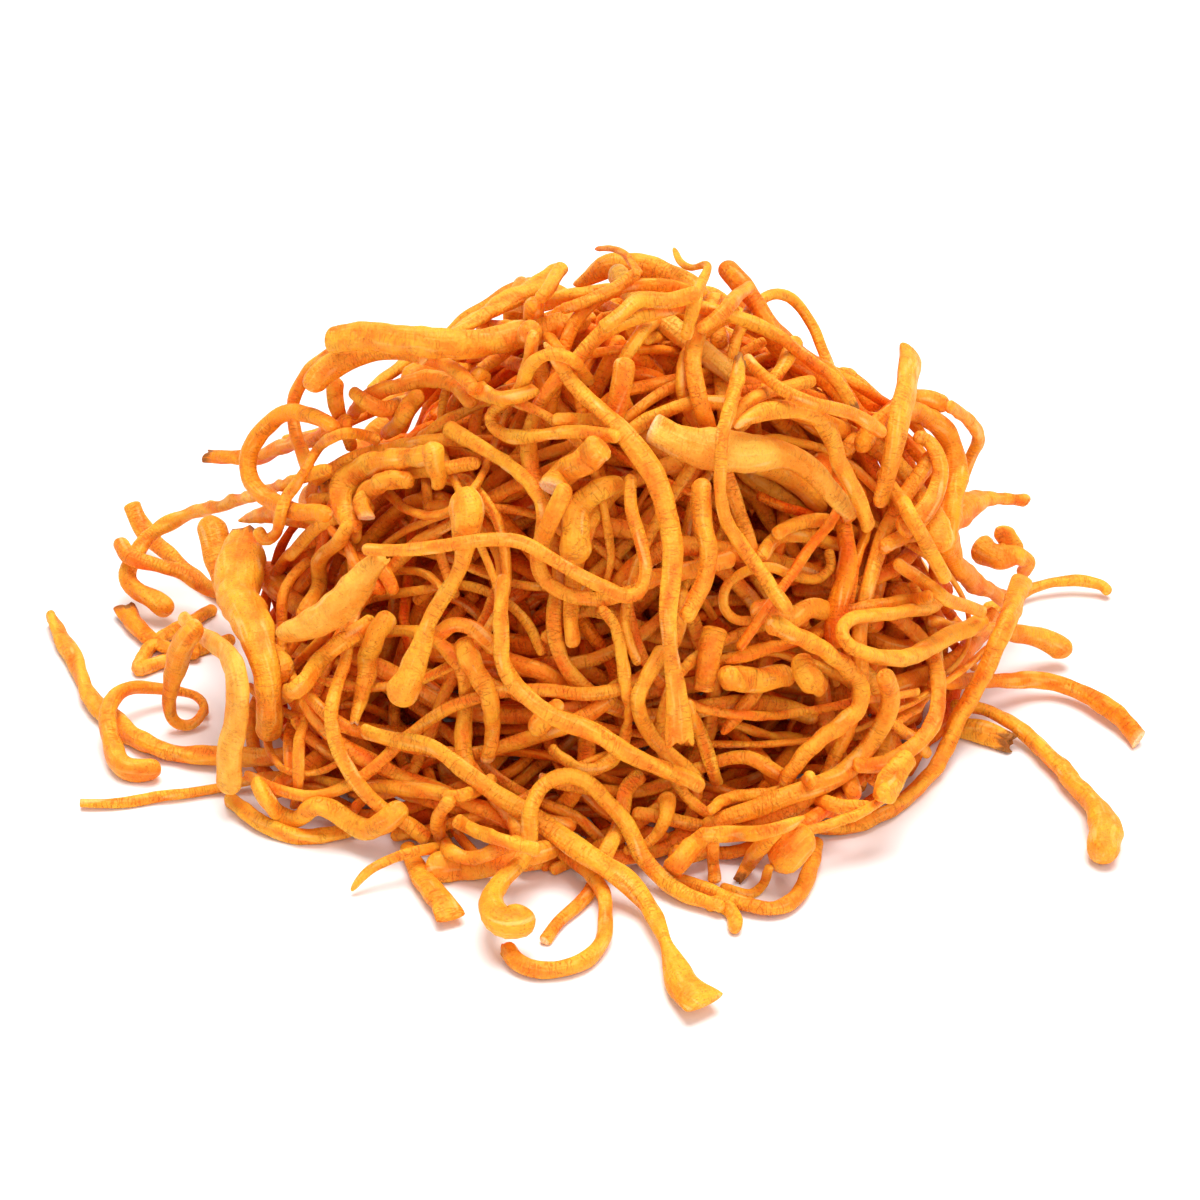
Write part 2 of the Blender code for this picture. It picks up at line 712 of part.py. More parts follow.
# A strand that the front view doesn't show: its first point in the frame of the view from
# behind, the way it sets off (degrees, 0 to the right and 90 down), its length (mm), the bend at
# its start and end (degrees for each centimetre) and its girth (mm).
BEHIND = {
    "back_tail_left": ((818, 962), -128, 74, 14, 22, (3.4, 2.6, 2.2, 2.0), 60),
    "back_tail_right": ((372, 950), -52, 80, -18, 20, (1.7, 2.0, 2.4, 2.2), 60),
    "back_tail_middle": ((612, 998), -100, 66, 28, -34, (4.4, 3.2, 2.2, 2.0, 1.8), 60),
    "back_low_stem": ((300, 800), 12, 88, -8, -12, (2.2, 2.4, 2.6, 2.2), 0),
    "back_hook": ((452, 860), -74, 66, -4, 46, (2.0, 2.2, 2.3, 3.4), 0),
    "back_shoulder_stem": ((846, 560), 150, 76, -24, 14, (1.8, 2.4, 2.8, 2.4), -12),
    "back_crest_loop": ((436, 560), -48, 84, 26, 30, (2.0, 2.3, 2.3, 3.4), -12),
    "back_long_ribbon": ((700, 486), 104, 74, -16, 22, (2.0, 3.0, 3.0, 2.4), -12),
    "back_wavy_stem": ((352, 640), -6, 82, 22, -34, (2.1, 2.3, 2.4, 2.0), -14),
    "back_club": ((868, 720), 190, 62, 16, -18, (4.8, 4.0, 2.4, 2.2, 2.0), -10),
}


def behind_the_heap():
    """Strands over the back of the heap, which bend evenly from one curvature to another."""
    for name, (first, heading, length, bend, last_bend, girth, back) in BEHIND.items():
        places = np.linspace(0, 1, BEND_POINTS)
        turn = bend * places + (last_bend - bend) * places**2 / 2
        centimetres = length / 10
        angle = np.radians(heading + turn * centimetres)
        stride = length / 1000 / POINT_SIZE / (BEND_POINTS - 1)
        way = np.column_stack([np.cos(angle), np.sin(angle)])[:-1] * stride
        route = np.array(first) + np.vstack([[0, 0], np.cumsum(way, axis=0)])
        lay(name, route, girth, back=back, view=BACK)


# ---------------------------------------------------------------- the inner strands
def valleys(points):
    """How far the dome sinks at each point: not at all below a strand, and most far from any."""
    centres = np.vstack([strand for strand, _ in LAID])
    reach = np.concatenate([radius for _, radius in LAID])
    gap = (np.linalg.norm(points[:, None] - centres, axis=2) - reach).min(axis=1)
    share = np.clip((gap - VALLEY_START) / VALLEY_WIDTH, 0, 1)
    share = share**2 * (3 - 2 * share)
    towards_front = (1 - points[:, 1] / HEAP_HALF_DEPTH) / 2
    return VALLEY_DEPTH * share * (BACK_SHARE + (1 - BACK_SHARE) * towards_front)


def inner_strands_mesh():
    """The dome of the strands below the uppermost ones: flat underneath, hilly above.

    It only goes inwards from its full size, so that what lies on it stays clear of it: in lumps
    all over, and in valleys between the strands.
    """
    around = np.linspace(0, 2 * math.pi, HEAP_SEGMENTS, endpoint=False)
    tiers = np.linspace(0, math.pi / 2, HEAP_TIERS + 1)[:-1]
    azimuth, height = np.meshgrid(around, tiers)
    level = np.cos(height)
    way = np.stack([level * np.cos(azimuth), level * np.sin(azimuth), np.sin(height)], axis=-1)
    way = way.reshape(-1, 3)
    size = np.array([HEAP_HALF_LENGTH, HEAP_HALF_DEPTH, HEAP_HEIGHT])
    valley = valleys(way * size).reshape(azimuth.shape)
    for _ in range(VALLEY_PASSES):
        valley = (np.roll(valley, 1, axis=1) + 2 * valley + np.roll(valley, -1, axis=1)) / 4
        padded = np.vstack([valley[:1], valley, valley[-1:]])
        valley = (padded[:-2] + 2 * valley + padded[2:]) / 4
    lump = np.random.default_rng(LUMP_SEED).random(azimuth.shape)
    lump = (1 - LUMP_SPREAD) * lump + LUMP_SPREAD * np.roll(lump, 1, axis=1)
    sunk = ((valley + lump * LUMP_DEPTH) * np.sqrt(level)).ravel()
    points = way * size * (1 - sunk / HEAP_HALF_DEPTH)[:, None]
    points[:HEAP_SEGMENTS, 2] = 0.0
    points = np.vstack([points, [0, 0, HEAP_HEIGHT - CROWN_DROP], [0, 0, 0]])
    top, foot, faces = len(points) - 2, len(points) - 1, []
    for j in range(HEAP_SEGMENTS):
        k = (j + 1) % HEAP_SEGMENTS
        faces.append((foot, k, j))
        for i in range(HEAP_TIERS - 1):
            low, high = i * HEAP_SEGMENTS, (i + 1) * HEAP_SEGMENTS
            faces.append((low + j, low + k, high + k, high + j))
        last = (HEAP_TIERS - 1) * HEAP_SEGMENTS
        faces.append((last + j, last + k, top))
    return points, faces


def build():
    """Lays every strand, sets the heap's middle over the origin and adds the objects."""
    remove_everything()
    on_the_table()
    left_side()
    far_top()
    over_the_front()
    behind_the_heap()
    bodies = [("inner_strands", *inner_strands_mesh(), SHADED), *STRANDS]
    corners = np.vstack([points for _, points, _, _ in bodies])
    middle = (corners.min(axis=0) + corners.max(axis=0)) / 2
    middle[2] = 0.0
    for name, points, faces, colour in bodies:
        add_object(name, points - middle, faces, colour)
    print("strands:", len(STRANDS), " heap's middle, mm:", np.round(middle * 1000, 2))


build()
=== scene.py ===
# %% [markdown]
# # A bunch of fresh cordyceps
# Cultivated cordyceps is sold as loose fruiting bodies: slender orange stalks, many of them with a
# swollen head, which are picked, trimmed and tipped out into a heap. This script dresses the packed
# solid model of such a heap. Every strand becomes a surface of its own, with lumps, creases and
# proper ends, and the dome that stands for the strands inside becomes separate strands as well.

# %% Modules, the frame and the units
import json
import math

import bmesh
import bpy
import numpy as np
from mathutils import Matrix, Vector


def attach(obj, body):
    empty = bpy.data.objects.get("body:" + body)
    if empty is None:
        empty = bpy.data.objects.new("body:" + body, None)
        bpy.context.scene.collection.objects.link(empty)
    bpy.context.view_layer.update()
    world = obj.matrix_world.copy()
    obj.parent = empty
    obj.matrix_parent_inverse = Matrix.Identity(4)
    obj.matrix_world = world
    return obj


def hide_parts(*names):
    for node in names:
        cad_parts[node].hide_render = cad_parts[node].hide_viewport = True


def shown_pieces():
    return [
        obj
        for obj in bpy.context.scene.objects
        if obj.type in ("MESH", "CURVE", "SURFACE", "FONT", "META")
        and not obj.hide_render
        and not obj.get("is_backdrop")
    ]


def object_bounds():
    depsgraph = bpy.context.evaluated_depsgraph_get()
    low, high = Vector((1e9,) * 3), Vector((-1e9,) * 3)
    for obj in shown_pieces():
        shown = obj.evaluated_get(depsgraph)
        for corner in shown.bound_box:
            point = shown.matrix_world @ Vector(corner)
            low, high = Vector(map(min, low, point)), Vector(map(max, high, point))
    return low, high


MM = 0.001
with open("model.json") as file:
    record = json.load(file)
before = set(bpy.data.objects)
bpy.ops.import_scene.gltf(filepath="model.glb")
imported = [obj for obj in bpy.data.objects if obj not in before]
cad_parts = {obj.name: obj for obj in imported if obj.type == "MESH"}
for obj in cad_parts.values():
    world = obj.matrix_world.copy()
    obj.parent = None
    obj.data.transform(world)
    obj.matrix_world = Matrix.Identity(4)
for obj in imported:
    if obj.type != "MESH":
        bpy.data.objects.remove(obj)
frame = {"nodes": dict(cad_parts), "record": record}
cad_box = [list(corner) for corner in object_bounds()]
print("nodes:", len(frame["nodes"]), " box, mm:", [round((b - a) / MM, 1) for a, b in zip(*cad_box)])

# %% [markdown]
# ## The camera
# The heap is looked at from a little above, with a long lens. A picture point covers 0.15 mm where
# the camera aims, and the same numbers turn picture points into lines of sight later on, because
# many of the strands are placed by how they are seen.

# %% Camera
PICTURE = 1200
PIXEL = 0.15 * MM
EYE_DISTANCE = 620 * MM
EYE_ELEVATION = 32
HEAP_MIDDLE = np.array([2.72, 4.68, 0.0]) * MM
AIM = HEAP_MIDDLE + [0, 0, 16 * MM]
SENSOR_WIDTH = 36
NEAREST_SEEN = 0.01


def view_from(azimuth, elevation):
    """An eye that looks at the heap: where it is, and its unit vectors ahead, to the right and up."""
    turn, tilt = math.radians(azimuth), math.radians(elevation)
    ahead = np.array([math.sin(turn) * math.cos(tilt), math.cos(turn) * math.cos(tilt), -math.sin(tilt)])
    right = np.array([math.cos(turn), -math.sin(turn), 0.0])
    return {"eye": AIM - ahead * EYE_DISTANCE, "ahead": ahead, "right": right, "up": np.cross(right, ahead)}


FRONT = view_from(0, EYE_ELEVATION)
camera = bpy.data.objects.new("camera", bpy.data.cameras.new("camera"))
bpy.context.scene.collection.objects.link(camera)
camera.location = FRONT["eye"]
camera.rotation_euler = Vector(FRONT["ahead"]).to_track_quat("-Z", "Y").to_euler()
camera.data.sensor_width = SENSOR_WIDTH
camera.data.lens = SENSOR_WIDTH * EYE_DISTANCE / (PICTURE * PIXEL)
camera.data.clip_start = NEAREST_SEEN
bpy.context.scene.camera = camera
print("camera at, mm:", np.round(FRONT["eye"] / MM), " lens, mm:", round(camera.data.lens))


def sight_rays(seen, view=FRONT):
    """Unit vectors from the eye through picture points: the eye's distance ahead, a pixel for each point."""
    across = (seen[..., 0:1] - PICTURE / 2) * PIXEL * view["right"]
    down = (seen[..., 1:2] - PICTURE / 2) * PIXEL * view["up"]
    rays = view["ahead"] * EYE_DISTANCE + across - down
    return rays / np.linalg.norm(rays, axis=-1, keepdims=True)


def picture_points(points, view=FRONT):
    """Where points are seen in the picture: their offset across and down over their distance ahead."""
    offset = points - view["eye"]
    scale = EYE_DISTANCE / PIXEL / (offset @ view["ahead"])
    across, up = offset @ view["right"] * scale, offset @ view["up"] * scale
    return np.stack([PICTURE / 2 + across, PICTURE / 2 - up], axis=-1)


# %% [markdown]
# ## Floor and light
# A heap like this is shown on white, in a light tent: one broad lamp above and a little behind, a
# weaker and broader one in front on the right, the white tent all round, and a white floor that
# fades into it. Only where the strands touch the floor is there a soft, warm shadow.

# %% Floor, lamps and surroundings
def linear(hex_colour, alpha=1.0):
    """The linear values of an sRGB colour written in hex."""
    values = np.array([int(hex_colour[i : i + 2], 16) / 255 for i in (0, 2, 4)])
    values = np.where(values <= 0.04045, values / 12.92, ((values + 0.055) / 1.055) ** 2.4)
    return (*values.tolist(), alpha)


def add_node(tree, kind, inputs=None, **settings):
    """Adds one node: its settings, and for each input a value or the output that feeds it."""
    node = tree.nodes.new(kind)
    for key, value in settings.items():
        setattr(node, key, value)
    for socket, value in (inputs or {}).items():
        if isinstance(value, bpy.types.NodeSocket):
            tree.links.new(value, node.inputs[socket])
        else:
            node.inputs[socket].default_value = value
    return node


FLOOR_REACH = 4.0
TENT_STRENGTH = 0.45
floor_mesh = bpy.data.meshes.new("floor")
floor_corners = [(x * FLOOR_REACH, y * FLOOR_REACH, 0) for x, y in ((-1, -1), (1, -1), (1, 1), (-1, 1))]
floor_mesh.from_pydata(floor_corners, [], [(0, 1, 2, 3)])
floor = bpy.data.objects.new("floor", floor_mesh)
bpy.context.scene.collection.objects.link(floor)
floor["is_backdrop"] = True

# Matt white paper: no gloss, so the lamps don't mirror in it.
paper = bpy.data.materials.new("white_paper")
paper.use_nodes = True
paper_shader = paper.node_tree.nodes["Principled BSDF"]
paper_shader.inputs["Base Color"].default_value = linear("F8F7F7")
paper_shader.inputs["Roughness"].default_value = 0.9
paper_shader.inputs["Specular IOR Level"].default_value = 0.1
floor_mesh.materials.append(paper)

world = bpy.data.worlds.new("light_tent")
bpy.context.scene.world = world
world.use_nodes = True
tent_shader = world.node_tree.nodes["Background"]
tent_shader.inputs["Color"].default_value = linear("FFFDFB")
tent_shader.inputs["Strength"].default_value = TENT_STRENGTH


def add_lamp(name, place, spread, strength):
    """A lamp far away, on the side of the heap where place is, so that it lights the whole floor alike.

    Its spread, in degrees, is how wide it stands in the sky: the wider, the softer the shadows.
    """
    lamp = bpy.data.lights.new(name, "SUN")
    lamp.angle = math.radians(spread)
    lamp.energy = strength
    obj = bpy.data.objects.new(name, lamp)
    bpy.context.scene.collection.objects.link(obj)
    obj.location = place
    obj.rotation_euler = (Vector(AIM) - Vector(place)).to_track_quat("-Z", "Y").to_euler()


add_lamp("softbox_above", (0.05, 0.16, 1.0), 44, 3.5)
add_lamp("softbox_front", (0.40, -0.9, 0.7), 60, 0.95)
bpy.context.scene.view_settings.view_transform = "Standard"

# %% [markdown]
# ## Strands as arrays
# All strands are kept in arrays of the same shape: a centreline of evenly spaced points, the
# direction of the strand's wide side at each point, and its half-width and half-thickness there.
# With that, one formula can work on hundreds of strands at once.

# %% Curves
POINTS = 64
ALONG = np.linspace(0, 1, POINTS)


def hermite(knots, count, measured=3):
    """A smooth curve through the knots at count even steps.

    Each span is a cubic whose end slopes are the knots' own differences, measured along the
    distance between the first few columns.
    """
    knots = np.asarray(knots, float)
    gaps = np.linalg.norm(np.diff(knots[:, :measured], axis=0), axis=1)
    place = np.concatenate([[0], np.cumsum(gaps)])
    slope = np.gradient(knots, place, axis=0)
    at = np.linspace(0, place[-1], count)
    span = np.clip(np.searchsorted(place, at, side="right") - 1, 0, len(gaps) - 1)
    width = gaps[span][:, None]
    t = (at - place[span])[:, None] / width
    start, end = knots[span], knots[span + 1]
    leave, arrive = slope[span] * width, slope[span + 1] * width
    return (
        (2 * t**3 - 3 * t**2 + 1) * start
        + (t**3 - 2 * t**2 + t) * leave
        + (3 * t**2 - 2 * t**3) * end
        + (t**3 - t**2) * arrive
    )


def even(curve, count, measured=3):
    """The curve again, at count points an even length apart."""
    gaps = np.linalg.norm(np.diff(curve[:, :measured], axis=0), axis=1)
    place = np.concatenate([[0], np.cumsum(gaps)])
    at = np.linspace(0, place[-1], count)
    return np.column_stack([np.interp(at, place, column) for column in curve.T])


def unit(vectors):
    """The vectors at length one."""
    return vectors / np.linalg.norm(vectors, axis=-1, keepdims=True)


def softened(values, passes):
    """Averages each point with its two neighbours, as often as passes says; the ends keep their slope."""
    for _ in range(passes):
        first = 2 * values[:, :1] - values[:, 1:2]
        last = 2 * values[:, -1:] - values[:, -2:-1]
        padded = np.concatenate([first, values, last], axis=1)
        values = (padded[:, :-2] + 2 * padded[:, 1:-1] + padded[:, 2:]) / 4
    return values


# %% [markdown]
# ## Reading the solids
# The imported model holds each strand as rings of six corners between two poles. Walking over the
# edges from one pole gives the rings in order. The centre of a ring is a point of the centreline,
# and its corners give the width, the thickness and the way that the strand lies. A few strands are
# broader in places than their faceted solids, and one torn head ends in a hollow below its solid's
# tip: two small tables after the reading say which.

# %% Strands from the solids
SIDES = 6
CORNER_REACH = 1.05  # a corner stands out this much further than the round strand does


def rings_of(node):
    """A strand's poles and its rings of corners in order, each as an array of points."""
    mesh = bmesh.new()
    mesh.from_mesh(node.data)
    bmesh.ops.remove_doubles(mesh, verts=mesh.verts, dist=0.001 * MM)
    links = {v: [e.other_vert(v) for e in v.link_edges] for v in mesh.verts}
    fans = [v for v, near in links.items() if len(near) == SIDES]
    pole = next(v for v in fans if all(len(links[n]) == SIDES - 1 for n in links[v]))
    layer, met, layers = {pole}, {pole}, []
    while layer:
        layers.append(np.array([v.co[:] for v in layer]))
        met |= layer
        layer = {n for v in layer for n in links[v]} - met
    mesh.free()
    rings = layers[1:-1]
    if len(layers[-1]) != 1 or any(len(ring) != SIDES for ring in rings):
        raise ValueError(f"{node.name} is no row of rings between two poles")
    return layers[0][0], layers[-1][0], np.array(rings)


def strand_of(node):
    """Centreline, wide side and half sizes of a strand's solid, from its left end in the picture."""
    first, last, rings = rings_of(node)
    centre = rings.mean(axis=1)
    tangent = unit(np.gradient(centre, axis=0))
    ordered, guide = [], None
    for ring, middle, ahead in zip(rings, centre, tangent):
        offset = ring - middle
        if guide is None:
            guide = offset[np.argmax(np.linalg.norm(offset, axis=1))]
        across = unit(guide - (guide @ ahead) * ahead)
        angle = np.arctan2(offset @ np.cross(ahead, across), offset @ across)
        turned = offset[np.argsort((angle + math.pi / SIDES) % (2 * math.pi))]
        ordered.append(turned)
        guide = turned[0]
    corners = np.array(ordered)
    turn = np.arange(SIDES) * 2 * math.pi / SIDES
    wide = np.tensordot(corners, np.cos(turn), axes=(1, 0)) * 2 / SIDES
    thick = np.tensordot(corners, np.sin(turn), axes=(1, 0)) * 2 / SIDES
    knots = np.column_stack([centre, wide, thick])
    ends = [np.concatenate([pole, knots[k, 3:]]) for pole, k in ((first, 0), (last, -1))]
    curve = hermite(np.vstack([ends[:1], knots, ends[1:]]), POINTS)
    seen = picture_points(curve[[0, -1], :3])
    if seen[0, 0] > seen[1, 0]:
        curve = curve[::-1]
    sizes = [np.linalg.norm(curve[:, k : k + 3], axis=1) / CORNER_REACH for k in (3, 6)]
    return curve[:, :3], unit(curve[:, 3:6]), *sizes


names = [name for name in sorted(frame["nodes"]) if name != "inner_strands"]
read = [strand_of(frame["nodes"][name]) for name in names]
MEASURES = ("centre", "side", "wide", "thick")
outer = {key: np.array([strand[k] for strand in read]) for k, key in enumerate(MEASURES)}
# What the width seen in the picture is to the solid's, at even steps from the left end.
GIRTHS = {
    "calyx_headed_left": (1.0, 1.3, 1.05, 0.86, 1.0, 1.05, 1.0, 1.0, 1.0),
    "crescent_left": (1.3, 1.4, 1.35, 1.3, 1.1),
    "blade_right_top": (1.0, 1.05, 1.1, 1.15),
    "pale_flat_stem_left": (1.0, 1.0, 1.1, 1.3, 1.45, 1.4),
}
for name, factors in GIRTHS.items():
    k = names.index(name)
    girth = np.interp(ALONG, np.linspace(0, 1, len(factors)), factors)
    outer["wide"][k] = softened((outer["wide"][k] * girth)[None], 3)[0]
# The share of the solid's length above the hollow of a torn head.
TRIMMED = {"calyx_headed_left": 0.045}
for name, share in TRIMMED.items():
    k = names.index(name)
    steps = np.linspace(share * (POINTS - 1), POINTS - 1, POINTS)
    for values in outer.values():
        columns = values[k].reshape(POINTS, -1).T
        kept = np.column_stack([np.interp(steps, np.arange(POINTS), column) for column in columns])
        values[k] = kept.reshape(values[k].shape)
lengths = np.linalg.norm(np.diff(outer["centre"], axis=1), axis=2).sum(axis=1)
print("strands from the solids:", len(names))
print("their lengths, mm:", np.round([lengths.min() / MM, lengths.max() / MM]))

# %% [markdown]
# ## Strands below the uppermost ones
# Between the uppermost strands others show, which lie a layer deeper. Each is drawn here by the
# route that it takes in the picture and its width in picture points, the deepest first. Along
# its lines of sight it is pushed back until it meets the table, the heap's inside or a strand
# laid before it, and it bridges hollows as a springy rod does.

# %% Laying a strand by sight
HEAP_SIZE = np.array([52.0, 45.0, 63.0]) * MM  # half the dome's length and depth, and its height
SINK = 6.0 * MM  # how far the traced strands may sink into the dome
STEEPEST = 2.0  # how much a course may gain in depth on its length
BRIDGING, ROUNDING = 50, 8  # how often a course is straightened over hollows, and softened at last
GAP = 0.2 * MM


def table_reach(rays, radius, view=FRONT):
    """How far along each ray a strand of that radius rests on the table."""
    return (radius - view["eye"][2]) / np.minimum(rays[..., 2], -1e-3)


def heap_reach(rays, radius, sink, view=FRONT):
    """How far along each ray it meets the heap's dome, shrunk by sink and grown by the radius."""
    size = HEAP_SIZE + (radius - sink)[..., None]
    start, along = (view["eye"] - HEAP_MIDDLE) / size, rays / size
    a, b, c = (along**2).sum(-1), (start * along).sum(-1), (start**2).sum(-1) - 1
    inside = b * b - a * c
    return np.where(inside > 0, (-b - np.sqrt(np.maximum(inside, 0))) / a, np.inf)


def strands_reach(rays, radius, centres, reach, view):
    """How far along each ray it first comes within reach of the points of other strands."""
    offset = centres - view["eye"]
    along = rays @ offset.T
    apart = (offset**2).sum(1)[None, :] - along**2
    room = (reach[None, :] + radius[:, None] + GAP) ** 2 - apart
    return np.where(room > 0, along - np.sqrt(np.maximum(room, 0)), np.inf).min(axis=1)


def springy(limit, spacing):
    """The deepest course in front of limit that is never too steep and bridges short hollows."""
    course = limit.copy()
    for i in range(1, len(course)):
        course[i] = min(course[i], course[i - 1] + STEEPEST * spacing)
    for i in range(len(course) - 2, -1, -1):
        course[i] = min(course[i], course[i + 1] + STEEPEST * spacing)
    for _ in range(BRIDGING):
        course = np.minimum(softened(course[None], 1)[0], limit)
    return softened(course[None], ROUNDING)[0]


